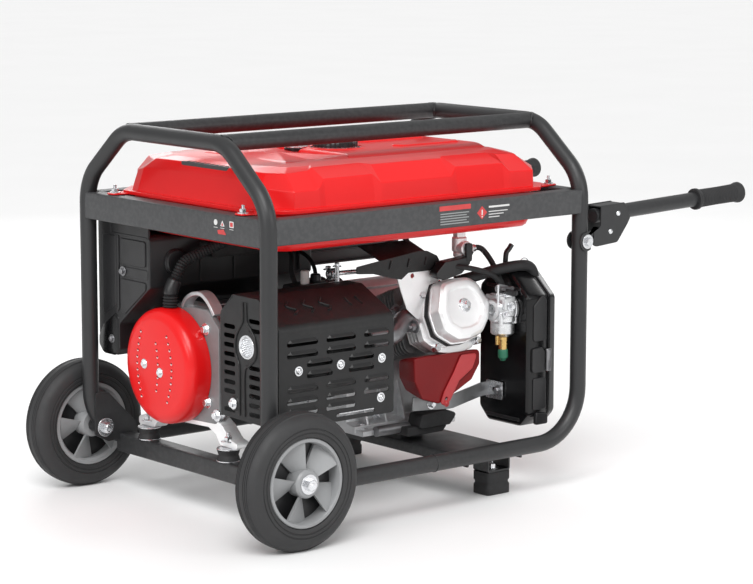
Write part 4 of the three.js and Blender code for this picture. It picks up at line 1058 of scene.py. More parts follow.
def fuel_cap():
    cap = Form()
    cap.lathe([(0, 586.8), (35.5, 586.8), (37.4, 588.4), (37.4, 594), (35, 597.4), (28, 599.6), (12, 600.6),
               (0, 600.8)], steps=64)
    ribs = 28
    for k in range(ribs):
        place = Matrix.Rotation(2 * math.pi * k / ribs, 4, "Z")
        cap.block((36.4, 38.0), (-1.7, 1.7), (587.2, 595.6), place)
    cap.prism(rounded([(-26, -5), (26, -5), (26, 5), (-26, 5)], 4), "z", (598, 600.9))
    cap.build("filler_cap", "plastic", "fuel_cap", replaces="fuel_cap", bevel=0.4, angle=45)
    Form().rod(29.2, "z", (569, 587)).build("filler_cap_plug", "plastic", "fuel_cap")


def fuel_gauge():
    Form().rod(21, "z", (576, 585.8), GAUGE_AT, 48, edge=1.6).build("gauge_body", "gloss_plastic")
    Form().ring(15.5, 19.5, "z", (584, 588), GAUGE_AT, 48).build("gauge_ring", "zinc")
    Form().rod(15.6, "z", (583, 586.6), GAUGE_AT, 40, edge=0.3).build("gauge_dial", "clear_dial")
    marks = Form()
    centre = Matrix.Translation((*GAUGE_AT, 0))
    marks.block((-1, 1), (-3, 12), (586.6, 587.3), centre @ Matrix.Rotation(0.7, 4, "Z"))
    for k in range(5):
        place = centre @ Matrix.Rotation(math.radians(-60 + 30 * k), 4, "Z")
        marks.block((-0.5, 0.5), (10.5, 14), (586.6, 587.0), place)
    marks.build("gauge_marks", "print_red")


# ---------------------------------------------------------------- alternator

END_FACE_X, END_BACK_X = -318, -275
COVER_R, STATOR_R = 97.5, 98


def on_circle(radius, degrees, x, centre=CRANK):
    t = math.radians(degrees)
    return (x, centre[0] + radius * math.cos(t), centre[1] + radius * math.sin(t))


def end_cover():
    """The pressed cover on the alternator's free end, with its vents and screws."""
    shell = Form()
    face = END_FACE_X
    shell.lathe([(0, face), (78, face), (86, face + 1.4), (92, face + 5), (96, face + 11),
                 (COVER_R, face + 18), (COVER_R, END_BACK_X - 1), (COVER_R - 1, END_BACK_X - 0.2),
                 (94.5, END_BACK_X - 0.2), (94.5, face + 16), (90, face + 8), (84, face + 4), (0, face + 3)],
                "x", SHAFT, 96)
    shell.build("alternator_cover", "red_enamel", replaces="alternator_end_cover", angle=32)
    cover_vents(face)
    screws = Form()
    for y, z in ((114, 233), (69, 224)):
        screws.lathe([(0, 0), (8.5, 0), (8.5, 1.0), (7.6, 1.6), (0, 1.6)], "-x", (face, y, z), 28)
        screws.bolt((face - 0.6, y, z), "-x", across=8, head=5, washer=False)
    screws.build("cover_screws", "zinc", angle=30)


def cover_vents(face):
    """Three bowed columns of round vents, each with a dark disc of painted shade for its hole, a rim and a
    bright strip of painted glint along its lower edge.
    """
    holes, rims, edges = Form(), Form(), Form()
    columns = [(119, 15, 11), (81, -7, 8), (52, -17, 11)]
    for base, bow, count in columns:
        for k in range(count):
            t = -1 + 2 * k / (count - 1)
            y, z = base + bow * math.cos(t * 1.35), CRANK_Z + 5 * count * t
            # Dark disc on the face: painted shade inside the vent hole.
            holes.lathe([(0, 0), (2.9, 0), (2.9, 0.45), (0, 0.45)], "-x", (face + 0.2, y, z), 16)
            rims.lathe([(2.8, 0), (4.2, 0), (3.5, 1.1), (2.8, 1.1), (2.8, 0)], "-x", (face + 0.2, y, z), 18)
            # Bright metal strip under each vent: a painted glint on its lower lip.
            low = [(face - 0.6, y - 1.9, z - 0.6), (face - 0.9, y, z - 1.7), (face - 0.6, y + 1.9, z - 0.6)]
            edges.tube(low, 0.75, 8)
    holes.build("cover_vent_painted_shade", "shaded_red_plastic")
    edges.build("cover_vent_painted_glints", "white_metal")
    rims.build("cover_vent_rims", "red_enamel")


def end_bracket():
    plate_outline = rounded([(-38, 160), (-30, 146), (40, 143), (118, 143), (118, 320), (40, 334), (-6, 334),
                             (-38, 306)], 10)
    # The end plate takes the darker cast colour as painted shade.
    plate("alternator_end_plate", plate_outline, [circle(CRANK, 60, 48)], "x", (-275, -264), "shaded_cast_metal",
          replaces="alternator_end_bracket", edge=1.2)
    casting = Form()
    ring = [(62, -264), (98, -264), (101.5, -260), (101.5, -228), (98, -224.3), (62, -224.3), (62, -264)]
    casting.lathe(ring, "x", SHAFT, 80)
    arch = rounded([(-84, 112), (-84, 122), (-66, 126), (-44, 146), (-20, 160), (60, 154), (112, 154),
                    (150, 140), (196, 126), (196, 112), (152, 112), (142, 122), (104, 134), (44, 136),
                    (-6, 138), (-26, 128), (-38, 112)], 6)
    foot = Form().prism(arch, "x", (-274.8, -246))
    foot.build("alternator_end_foot", "white_metal", bevel=2.0, segments=3, angle=30)
    crown = rounded([(96, 300), (84, 330), (60, 334), (-2, 330), (-14, 300)], 8)
    casting.prism(crown, "x", (-263, -232))
    casting.build("alternator_end_casting", "cast_metal", bevel=1.6, angle=30)
    lifting_arch()
    end_bolts()


def lifting_arch():
    arch_top = Form()
    loop = smooth_path([(-262, -20, 326), (-262, -4, 345), (-262, 16, 357), (-262, 40, 355), (-262, 60, 344),
                        (-262, 70, 330)], 8)
    arch_top.strip(loop, 22, 7, lambda t: (0, -math.cos(t * math.pi), math.sin(t * math.pi) + 0.05))
    arch_top.build("alternator_lifting_arch", "cast_metal", bevel=1.4)


def end_bolts():
    bolts = Form()
    for y, z in ((-2, 302), (-6, 180), (-31, 162), (98, 148), (104, 312)):
        bolts.bolt((-275, y, z), "-x", across=11, head=6.5)
        bolts.rod(8, "x", (-276, -264), (y, z))
    for y in (-58, 168):
        bolts.bolt((-272, y, 122), "z", across=13, head=7, stud=7)
    bolts.build("alternator_end_bolts", "zinc", angle=30)


def stator():
    """The laminated stack with its weld seams and the four long tie bolts."""
    stack = Form()
    stack.lathe([(89, -223.8), (STATOR_R - 1, -223.8), (STATOR_R, -222), (STATOR_R, -78),
                 (STATOR_R - 1, -76.2), (89, -76.2), (89, -223.8)], "x", SHAFT, 96)
    stack.build("alternator_stack", "lamination", replaces="alternator_stator", angle=32)
    welds, ties = Form(), Form()
    for k in range(8):
        at = on_circle(STATOR_R - 0.6, 12 + 45 * k, 0)
        welds.tube([(-222, at[1], at[2]), (-78, at[1], at[2])], 2.0, 8)
    welds.build("stack_weld_seams", "steel")
    for k in range(4):
        at = on_circle(STATOR_R + 5.2, 45 + 90 * k, 0)
        ties.tube([(-262, at[1], at[2]), (-30, at[1], at[2])], 3.4, 12)
        ties.bolt((-262, at[1], at[2]), "-x")
        ties.bolt((-56, at[1], at[2]), "-x")
    ties.build("alternator_tie_bolts", "zinc", angle=30)


def front_housing():
    """The ribbed casting between the stator and the engine."""
    housing = Form()
    housing.lathe([(84, -75.7), (99, -75.7), (101, -73), (101, -60), (98, -57), (100, -20), (101, -18),
                   (101, -10), (99, -8.3), (84, -8.3), (84, -75.7)], "x", SHAFT, 80)
    for k in range(24):
        spot = about_shaft(math.radians(15 * k))
        housing.block((96, 101), (-2.4, 2.4), (-58, -18), spot)
    housing.lathe([(20, -14), (90, -14), (90, -8.3), (20, -8.3), (20, -14)], "x", SHAFT, 60)
    housing.build("alternator_front_casting", "cast_metal", replaces="alternator_front_housing",
                  bevel=0.8, angle=32)


def rotor():
    form = Form()
    form.lathe([(18, -205), (60, -205), (82, -198), (83.5, -196), (83.5, -90), (82, -88), (60, -80),
                (18, -80), (18, -205)], "x", SHAFT, 64)
    for k in range(12):
        spot = about_shaft(math.radians(30 * k))
        form.block((30, 82), (-1.6, 1.6), (-74, -50), spot)
    form.lathe([(18, -78), (80, -78), (80, -74), (18, -74), (18, -78)], "x", SHAFT, 64)
    form.build("rotor_core", "lamination", "crank_train", replaces="alternator_rotor", angle=30)
    coil = Form()
    for x0, x1 in ((-212, -198), (-88, -79)):
        coil.lathe([(30, x0), (68, x0), (74, x0 + 4), (74, x1), (30, x1), (30, x0)], "x", SHAFT, 48)
    coil.build("rotor_windings", "copper", "crank_train", angle=40)


def conduit():
    """Ribbed boot on the end cover, a plain coupler, then a corrugated hose into the control box."""
    step = 1.25
    route = bent([(-288, 80, 330), (-287, 80, 358, 30), (-262, 80, 404, 30), (-176, 66, 435, 16),
                  (-176, 101.5, 435)], 10)
    path = resample(route, step)
    boot_end, coupler_end = 18, 37

    def ripple(base, height, pitch, count):
        return lambda t: base + height * math.sin(t * count * step * 2 * math.pi / pitch)

    boot = Form().tube(path[:boot_end], ripple(11.8, 1.7, 5.4, boot_end), 32)
    boot.build("conduit_boot", "rubber", replaces="alternator_conduit", angle=60)
    coupler = Form().tube(path[boot_end - 1:coupler_end], lambda t: 12.4 - 1.2 * (2 * t - 1) ** 8, 32)
    coupler.build("conduit_coupler", "plastic", angle=40)
    hose = path[coupler_end - 1:]
    Form().tube(hose, ripple(8.6, 1.15, 5.2, len(hose)), 20).build("conduit_ribbed_hose", "rubber", angle=60)


# ---------------------------------------------------------------- muffler and its guard

GUARD_X = (-293, -56)
OUTLET = (-136, 292)
SLOT_ROWS = (305, 286, 230, 211, 193)
SLOT_HALF = 3.8
SLOT_COLUMNS = ((-277, -214), (-197, -136), (-119, -66))


def guard_front():
    """Front face of the guard with pressed louvres and its fixing screws."""
    left_out = (SLOT_COLUMNS[2], SLOT_ROWS[-1])
    slots = [(u, z) for z in SLOT_ROWS for u in SLOT_COLUMNS if (u, z) != left_out]
    slots += [(u, z) for z in (269, 251) for u in ((-237, -184), (-151, -98))]
    holes = [slot_hole(u, (z - SLOT_HALF, z + SLOT_HALF)) for u, z in slots]
    holes.append(slot_hole((-176, -96), (176, 181)))
    x0, x1 = GUARD_X[0] + 1, GUARD_X[1]
    outline = rounded([(x0, 168), (x1, 170), (x1, 318), (x0, 318)], [3, 6, 0, 0])
    plate("guard_front", outline, holes, "y", (-222, -219.8), "heat_paint", replaces="muffler_guard",
          edge=0.4)
    guard_louvres(slots)
    screws = Form()
    for x, z in ((-254, 261), (-168, 262), (-82, 263), (-84, 198)):
        screws.screw((x, -222, z), "-y", 5.6)
    screws.build("guard_screws", "zinc", angle=30)
    trim = Form().tube([(-172, -223, 181.5), (-100, -223, 181.5)], 1.3, 10)
    trim.build("guard_bottom_trim", "zinc")


def guard_louvres(slots):
    """A hood over each slot, tapering away at both ends."""
    hoods = Form()
    section = [(0, 5.8), (-4.0, 0.9), (-3.6, -0.6), (0, 0)]
    inset, taper, tip = 2.0, 5, 0.2
    for u, z in slots:
        foot = z + SLOT_HALF - 1.2
        x0, x1 = u[0] + inset, u[1] - inset
        hoods.rings([[(x, -221.6 + y * scale, foot + h * scale) for y, h in section]
                     for x, scale in ((x0, tip), (x0 + taper, 1), (x1 - taper, 1), (x1, tip))])
    hoods.build("guard_louvres", "heat_paint", bevel=0.5, angle=30)


def guard_top():
    """Folded sheet from the front edge up the slope and back down behind, with a pressed heat mark."""
    outer = bent([(0, -222, 317), (0, -222, 333, 16), (0, -140, 374, 10), (0, -99, 374, 8), (0, -66, 342, 8),
                  (0, -66, 172)], 6)
    inner = bent([(0, -219.8, 317), (0, -219.8, 331.6, 13.8), (0, -139.5, 371.8, 8), (0, -99.9, 371.8, 6),
                  (0, -68.2, 341, 6), (0, -68.2, 172)], 6)
    section = [(p.y, p.z) for p in outer + inner[::-1]]
    sheet = Form().prism(section, "x", (GUARD_X[0] + 1, GUARD_X[1]))
    sheet.build("guard_top", "heat_paint", bevel=0.5, angle=25)
    slope = Matrix.Translation((0, -178, 355.6)) @ Matrix.Rotation(math.radians(26.8), 4, "X")
    marks = Form()
    for k in range(3):
        path = smooth_path([(-238 + 34 * k, -18, 0.4), (-229 + 34 * k, -8, 0.4), (-241 + 34 * k, 4, 0.4),
                            (-232 + 34 * k, 16, 0.4)], 8)
        marks.tube([slope @ p for p in path], 2.1, 10)
    for k in range(2):
        bar = [slope @ Vector((-118 + 22 * k, y, 0.3)) for y in (-12, 10)]
        marks.tube(bar, 1.7, 10)
    marks.build("guard_heat_marks", "heat_paint")


def guard_end():
    """End plate with two columns of slots, two raised ribs and a bolted boss."""
    outline = rounded([(-219, 168), (-219, 334), (-168, 373.4), (-104, 373.4), (-66.5, 340), (-67, 172)],
                      [4, 13, 10, 10, 8, 4])
    rows = [184 + 15.2 * k for k in range(11)]
    holes = []
    for z in rows:
        if not 186 < z < 204 and z < 330:
            holes.append(slot_hole((-106, -76), (z - 3.6, z + 3.6)))
        if not 264 < z < 318 and z < 346:
            holes.append(slot_hole((-172, -143), (z - 3.6, z + 3.6)))
    plate("guard_end", outline, holes + [circle(OUTLET, 20, 40)], "x", (-293, -290.8), "heat_paint", edge=0.4)
    rib = Form()
    lines = [[(-132, 178), (-132, 250), (-146, 264), (-160, 276), (-163, 292), (-158, 310), (-146, 324),
              (-138, 334), (-136, 364)],
             [(-118, 178), (-118, 252), (-113, 268), (-108, 280), (-107, 294), (-111, 310), (-122, 326),
              (-128, 336), (-128, 364)]]
    for line in lines:
        path = smooth_path([(-293.2, y, z) for y, z in line], 6)
        rib.tube(path, 2.4, 10)
    rib.build("guard_end_rib", "heat_paint")
    exhaust_outlet()
    boss = Form().lathe([(0, 0), (13, 0), (11, 2.4), (8, 3), (0, 3)], "-x", (-293, -105, 196), 32)
    boss.build("guard_boss", "heat_paint")
    Form().bolt((-296, -105, 196), "-x", head=5.5).build("guard_boss_bolt", "zinc", angle=30)


def exhaust_outlet():
    """The bright ring round the outlet, with the crossed wires of its spark screen."""
    outlet = Form()
    outlet.lathe([(15.5, 0), (20.5, 0), (20.5, 8), (19, 9.4), (17, 9.4), (15.5, 8), (15.5, 0)], "-x",
                 (-284, *OUTLET), 48)
    outlet.build("exhaust_outlet_ring", "zinc", replaces="spark_arrestor", angle=40)
    screen = Form()
    y, z = OUTLET
    radius, pitch = 16.5, 3.0
    for k in range(-5, 6):
        off = k * pitch
        reach = math.sqrt(max(0.0, radius ** 2 - off ** 2))
        screen.tube([(-290.4, y + off, z - reach), (-290.4, y + off, z + reach)], 0.8, 6)
        screen.tube([(-290.0, y - reach, z + off), (-290.0, y + reach, z + off)], 0.8, 6)
    screen.build("spark_screen", "zinc")
    core = Form().lathe([(0, 0), (17, 0), (17, 2), (0, 2)], "-x", (-285, *OUTLET), 32)
    core.build("outlet_core", "white_metal")


def muffler():
    axis = (-145, 262)
    can = Form()
    can.lathe([(0, -279), (44, -279), (57, -275), (62, -268), (62, -263), (60.6, -262), (60.6, -180),
               (62, -178.6), (62, -171), (60.6, -169.6), (60.6, -88), (62, -87), (62, -82), (57, -75),
               (44, -72), (0, -72)], "x", (0, *axis), 64)
    can.build("muffler_can", "heat_paint", replaces="muffler", angle=30)


def exhaust_pipe():
    pipe = Form()
    path = bent([(-80, -128, 276), (20, -128, 276, 30), (60, -106, 294, 30), (81, -100, 296)], 10)
    pipe.tube(path, 17, 28)
    pipe.build("exhaust_pipe", "steel")
    flange = Form().prism(rounded([(-132, 283), (-100, 270), (-68, 309), (-100, 322)], 12), "x", (74, 81.5))
    for y, z in ((-124, 285), (-76, 307)):
        flange.bolt((74, y, z), "-x", across=12, head=8, stud=6)
    flange.build("exhaust_flange", "steel", bevel=0.8, angle=30)


# ---------------------------------------------------------------- engine

ENGINE_X, TILT = 144, math.radians(20)
ENGINE = Matrix((
    (1, 0, 0, ENGINE_X),
    (0, math.sin(TILT), -math.cos(TILT), CRANK_Y),
    (0, math.cos(TILT), math.sin(TILT), CRANK_Z),
    (0, 0, 0, 1),
))
HEAD_OUTLINE = [(-60, -8), (-40, 44), (-6, 50), (30, 50), (50, 38), (70, -4), (58, -32), (36, -56), (4, -64),
                (-26, -64), (-56, -44)]
HEAD_CENTRE = (4, -4)
COVER_SHIFT = (4, 1, 4)


def crankcase():
    case = Form()
    dome = arc((CRANK_Y, 252), 84, 0, 155, 28)
    outline = [(-62, 100), (208, 100), (208, 112), (176, 122), (176, 250)] + dome + [
        (-20, 250), (-40, 180), (-40, 116), (-62, 112)]
    case.prism(outline, "x", (-8, 205))
    case.build("crankcase_body", "cast_metal", replaces="crankcase", bevel=2.2, segments=3, angle=30)


def crankcase_ribs():
    """Round flange towards the alternator, foot plate and the ribs on both flanks."""
    parts = Form().ring(40, 92, "x", (-14, -4), CRANK, 64, edge=2)
    for k in range(10):
        spot = about_shaft(math.radians(36 * k))
        parts.block((52, 92), (-2.5, 2.5), (-16, -10), spot)
    parts.prism(rounded([(-80, 96.5), (208, 96.5), (208, 106), (-80, 106)], 3), "x", (-4, 205))
    for x in (20, 62, 104, 146):
        parts.prism([(-62, 112), (-41, 178), (-36, 178), (-36, 112)], "x", (x, x + 5))
        parts.prism([(176, 122), (200, 112), (176, 112)], "x", (x, x + 5))
    parts.prism(rounded([(-62, 118), (-40, 118), (-22, 246), (-44, 240)], 6), "x", (170, 196))
    parts.build("crankcase_ribs", "cast_metal", bevel=1.2, angle=30)


def crankcase_rear():
    """Bolted cover on the unseen rear side, with cooling ribs over the dome."""
    rear = Form().prism(rounded(box_outline((28, 172), (138, 246)), 16), "y", (174, 182))
    rear.prism(rounded(box_outline((40, 160), (150, 234)), 12), "y", (180, 184.6))
    for x in (60, 84, 108, 132):
        rear.prism(rounded(box_outline((x, x + 5), (158, 226)), 2), "y", (184, 187.4))
    for k in range(6):
        at = math.radians(12 + 26 * k)
        spot = Matrix.Translation((98, CRANK_Y, 252)) @ Matrix.Rotation(at, 4, "X")
        rear.block((-78, 78), (82, 87.4), (-1.8, 1.8), spot)
    rear.build("crankcase_rear_cover", "cast_metal", bevel=1.4, angle=30)
    rear_bolts = Form()
    for x in (38, 100, 162):
        for z in (146, 238):
            rear_bolts.bolt((x, 182, z), "y", head=5.5)
    rear_bolts.build("crankcase_rear_bolts", "zinc", angle=30)


def starter_motor():
    starter = Form().rod(27, "x", (50, 138), (206, 300), 48, edge=3)
    starter.rod(22, "x", (138, 176), (206, 300), 48, edge=3)
    starter.rod(11, "x", (44, 52), (206, 300), 32, edge=2)
    starter.build("starter_motor", "heat_paint", angle=30)
    solenoid = Form().rod(13, "x", (60, 118), (212, 262), 36, edge=2)
    solenoid.bolt((60, 206, 262), "-x", across=8, head=5)
    solenoid.bolt((60, 219, 262), "-x", across=8, head=5)
    solenoid.build("starter_solenoid", "steel", angle=30)


def crankcase_bolts():
    bolts = Form()
    for x in (14, 190):
        for y in (-52, 196):
            bolts.bolt((x, y, 106 if y < 0 else 112), "z", across=13, head=7)
    for k in range(6):
        at = on_circle(86, 30 + 60 * k, 0)
        bolts.bolt((-14, at[1], at[2]), "-x", head=5)
    bolts.bolt((104, -80, 101), "-y", across=13, head=7)
    bolts.bolt((60, -41, 128), "-y", across=15, head=8)
    bolts.build("crankcase_bolts", "zinc", angle=30)


def oil_filler():
    dip = Form()
    place = facing((0, -0.8, 0.6), (182, -52, 132))
    dip.lathe([(0, 0), (15, 0), (15, 8), (12, 9), (12, 12), (17, 13), (17, 22), (14, 25), (0, 25)],
              matrix=place, steps=32)
    dip.block((-12, 12), (-3, 3), (24, 31), place)
    dip.build("oil_filler_plug", "plastic", bevel=0.8, angle=40)


def cylinder():
    """The barrel's cooling fins, square with round corners and widest near the middle."""
    fins = Form().lathe([(0, 60), (52, 60), (52, 163), (0, 163)], matrix=ENGINE, steps=40)
    outline = rounded(box_outline((-61, 61), (-60, 60)), 20)
    for k in range(9):
        z = 96 + 7.4 * k
        fins.prism(scaled(outline, 1.0 - 0.006 * abs(k - 5), (0, 0)), "z", (z, z + 2.4), ENGINE)
    # The fins take the darker cast colour as painted shade.
    fins.build("cylinder_fins", "shaded_cast_metal", bevel=0.7, segments=1, angle=40)


def cylinder_head():
    head = Form().prism(scaled(HEAD_OUTLINE, 0.84, HEAD_CENTRE), "z", (163.4, 226), ENGINE)
    for k in range(5):
        z = 167 + 8.2 * k
        head.prism(scaled(HEAD_OUTLINE, 0.985, HEAD_CENTRE), "z", (z, z + 3), ENGINE)
    head.prism(HEAD_OUTLINE, "z", (208, 222.5), ENGINE)
    shelf = rounded([(-64, -14), (-62, -46), (-34, -70), (4, -76), (40, -70), (66, -44), (74, -10)], 8)
    head.prism(shelf, "z", (200, 214), ENGINE)
    head.build("cylinder_head", "white_metal", replaces="cylinder_head", bevel=1.2, angle=30)
    studs = Form()
    for x, y in ((-52, 30), (56, 24), (-44, -62), (48, -60)):
        spot = ENGINE @ Matrix.Translation((x, y, 214))
        studs.lathe([(0, 0), (7, 0), (7, 12), (5.6, 14), (0, 14)], matrix=spot, steps=6)
    studs.build("head_bolts", "zinc", angle=30)
    gasket = Form().prism(HEAD_OUTLINE, "z", (222.5, 231), ENGINE @ Matrix.Translation((3, 1, 0)))
    gasket.build("head_gasket", "rubber", bevel=0.6)


def rocker_cover():
    form = Form()
    levels = [(226, 0.985), (230.5, 0.985), (231.2, 0.955), (244, 0.94), (250, 0.90), (253.6, 0.82),
              (254.8, 0.72), (254.2, 0.64), (251.6, 0.58), (251.0, 0.50)]
    smooth = rounded(HEAD_OUTLINE, 19, 7)
    lifted = ENGINE @ Matrix.Translation(COVER_SHIFT)
    rings = [[(x, y, z) for x, y in scaled(smooth, scale, HEAD_CENTRE)] for z, scale in levels]
    form.rings(rings, matrix=lifted)
    form.build("rocker_cover", "white_metal", replaces="valve_cover", angle=24)
    fixing = Form()
    spot = lifted @ Matrix.Translation((6, -2, 251))
    fixing.lathe([(0, 0), (13, 0), (11, 2.2), (8.5, 2.6), (0, 2.6)], matrix=spot, steps=32)
    fixing.lathe([(0, 2.6), (7.2, 2.6), (7.2, 9), (5.6, 10.6), (0, 10.6)], matrix=spot, steps=6)
    fixing.build("rocker_cover_bolt", "zinc", angle=30)


def crankshaft():
    form = Form()
    form.lathe([(0, -266), (15.5, -266), (17, -264), (17, 206), (15, 207), (15, 248), (14, 250), (0, 250)],
               "x", SHAFT, 40)
    for x in (108, 150):
        form.lathe([(0, x), (46.5, x), (48, x + 1.5), (48, x + 14.5), (46.5, x + 16), (0, x + 16)],
                   "x", SHAFT, 48)
    form.build("crankshaft", "machined_metal", "crank_train", replaces="crankshaft", angle=30)


def flywheel():
    wheel = Form()
    wheel.lathe([(16, 212), (86, 212), (91, 214), (92, 217), (92, 226), (88, 228), (40, 228), (34, 244),
                 (16, 244), (16, 212)], "x", SHAFT, 72)
    for k in range(22):
        spot = about_shaft(2 * math.pi * k / 22)
        wheel.block((58, 89), (-1.5, 1.5), (227, 243.5), spot)
    wheel.build("flywheel_fan", "cast_metal", "crank_train", replaces="flywheel", bevel=0.5, angle=30)


def fan_housing():
    """A face plate with a round opening, and the wall that follows its outline."""
    outline = arc(CRANK, 108, -100, 172, 60) + [(-46, 250), (-46, 205), (-34, 150), (20, 134)]
    plate("fan_housing_back", outline, [circle(CRANK, 84, 64)], "x", (254, 262), "red_enamel",
          replaces="blower_housing", edge=2.2)
    inner = scaled(outline, 0.955, CRANK)
    x0, x1 = 205.3, 256
    corners = ((x0, inner), (x0, outline), (x1, outline), (x1, inner))
    rim = [[(y, z, x) for y, z in points] for x, points in corners]
    shell = Form().rings(rim, cap=False, closed=True, matrix=plane_of("x"))
    shell.build("fan_housing_wall", "red_enamel", angle=40)


def recoil_cover():
    """Round slotted cover with a boss and plain rings, and the bolts round it and the housing."""
    cover = Form()
    cover.lathe([(86, 262.3), (95, 262.3), (96, 264), (96, 276), (92, 284), (84, 288), (84, 285), (89, 281),
                 (92, 274), (92, 266), (86, 265), (86, 262.3)], "x", SHAFT, 80)
    for k in range(36):
        cover.block((38, 86), (-1.9, 1.9), (284.5, 288), about_shaft(2 * math.pi * k / 36))
    cover.lathe([(60, 285), (64, 285), (64, 289), (60, 289), (60, 285)], "x", SHAFT, 64)
    cover.lathe([(0, 284), (40, 284), (40, 292), (36, 296), (30, 300.3), (0, 300.3)], "x", SHAFT, 56)
    cover.build("recoil_cover", "red_enamel", replaces="recoil_cover", bevel=0.6, angle=30)
    badge = Form().ring(18, 24, "x", (299, 301.2), CRANK, 48)
    badge.rod(12, "x", (299, 301.2), CRANK, 40)
    badge.build("recoil_centre_rings", "band_paint")
    bolts = Form()
    for turn in (35, 155, 275):
        bolts.bolt(on_circle(91, turn, 282), "x")
    for turn in (-60, 0, 60, 120, 172):
        bolts.bolt(on_circle(101, turn, 262), "x")
    bolts.build("recoil_bolts", "zinc", angle=30)


def recoil_grip():
    """The guide ring on the cover, the moulded handle and the end of its rope."""
    y0, z0 = ROPE_AT
    Form().ring(7, 13, "x", (280, 296.4), ROPE_AT, 32, edge=2).build("recoil_rope_guide", "plastic", angle=40)
    grip = Form()
    rings = []
    sizes = [(296.7, 9, 6), (299, 15, 8), (302, 26, 9.4), (307, 31, 10), (311.5, 31, 10), (314, 28, 8.4)]
    for x, w, h in sizes:
        outline = box_outline((y0 - w, y0 + w), (z0 - h, z0 + h), min(w, h) * 0.8, 5)
        rings.append([(x, y, z) for y, z in outline])
    grip.rings(rings)
    for k in range(-3, 4):
        y = y0 + k * 8
        grip.block((307, 315), (y - 0.9, y + 0.9), (z0 - 8.4, z0 + 8.4))
    grip.build("recoil_handle", "rubber", "recoil_grip", replaces="recoil_grip", bevel=1.0, angle=40)
    Form().rod(5, "x", (267, 299), ROPE_AT, 20).build("recoil_rope_knot", "rope", "recoil_grip")


def starter_rope():
    """The pull rope, from the guide ring out to the handle."""
    path = resample([(286, *ROPE_AT), (300, *ROPE_AT)], 1)
    rope = link_new("recoil_rope", Form().tube(path, 2.6, 12).mesh("recoil_rope", "rope"))
    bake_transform(rope)


def cylinder_shroud():
    """The bright plate beside the head, and the dark heat stay above it."""
    outline = rounded([(34, 378), (58, 392), (140, 388), (132, 362), (113, 336), (106, 300), (82, 296),
                       (58, 316), (44, 350)], 6)
    plate("cylinder_shroud", outline, [circle((70, 372), 4)], "y", (-121, -118.4), "white_metal", edge=0.8)
    stay = Form()
    outline = [(-52, 386), (-16, 383), (24, 372), (45, 368), (60, 378), (139, 378), (124, 402), (102, 412),
               (80, 413), (8, 405), (-52, 398)]
    stay.prism(rounded(outline, 3), "y", (-122, -119.4))
    stay.prism(rounded([(-120, 404), (-60, 424), (-60, 421.6), (-120, 401.6)], 0.8), "x", (0, 112))
    for x in (18, 58, 96):
        stay.tube([(x, -122.4, 388), (x + 4, -122.4, 402)], 1.8, 10)
    stay.build("heat_stay", "heat_paint", bevel=0.8, angle=25)


def lower_shroud():
    """The red air scoop under the cylinder with its stay; the scoop is coloured darker red as painted shade.
    """
    scoop = Form()
    outline = rounded([(47, 237), (196, 237), (196, 212), (178, 186), (128, 162), (104, 152), (66, 164),
                       (49, 196)], 9)
    levels = [(-100, 0.86), (-128, 0.95), (-146, 0.995), (-151, 1.0), (-153, 0.985)]
    scoop.rings([[(x, y, z) for x, z in shrink(outline, scale)] for y, scale in levels])
    # The darker red of the scoop is painted shade.
    scoop.build("lower_shroud", "shaded_red_plastic", bevel=1.2, angle=30)
    strip = rounded([(150, 232), (188, 232), (176, 206), (146, 188), (126, 156), (114, 148), (104, 153),
                     (112, 172), (134, 204)], 7)
    plate("shroud_stay", strip, [circle((117, 160), 3)], "y", (-156.4, -154), "red_plastic", edge=0.8)
    Form().screw((117, -156.4, 152), "-y", 4).build("shroud_stay_screw", "red_plastic", angle=30)


def top_fittings():
    """Small parts on top of the alternator: terminal stand, white post, clamp and sensing pipe."""
    stand = Form()
    stand.prism(rounded([(-96, 328), (-12, 328), (-12, 352), (-30, 360), (-96, 356)], 5), "y", (-12, 24))
    stand.rod(9, "z", (352, 372), (-40, 4), 28, edge=2)
    stand.build("terminal_stand", "plastic", bevel=1.4, angle=30)
    post = Form().lathe([(0, 350), (7.5, 350), (7.5, 378), (6.4, 380), (0, 380)], "z", (-66, 0, 0), 28)
    post.build("terminal_post", "ceramic_white", angle=30)
    clamp = Form().ring(5, 10, "x", (-30, -14), (-20, 372), 28)
    clamp.rod(4, "z", (360, 388), (-22, -32), 20)
    clamp.bolt((-22, -32, 386), "z", across=8, head=5)
    clamp.bolt((-22, -8, 378), "z", across=9, head=5)
    pipe = [(-30, -20, 372), (0, -30, 374), (22, -60, 378), (30, -100, 384), (34, -118, 388)]
    clamp.tube(smooth_path(pipe, 8), 4.2, 14)
    clamp.build("sensing_pipe", "zinc", angle=30)
    wires = Form()
    wires.tube(smooth_path([(-70, 20, 352), (-60, 44, 372), (-40, 70, 396), (-20, 112, 410)], 8), 4.4, 14)
    wires.tube(smooth_path([(-30, 16, 350), (-10, 44, 372), (0, 74, 388), (6, 112, 396)], 8), 3.6, 14)
    wires.build("alternator_wires", "rubber")


INTAKE_AT, BOWL_AT, CUTOFF_AT = (-168, 305), (230, -172), (219, -186)


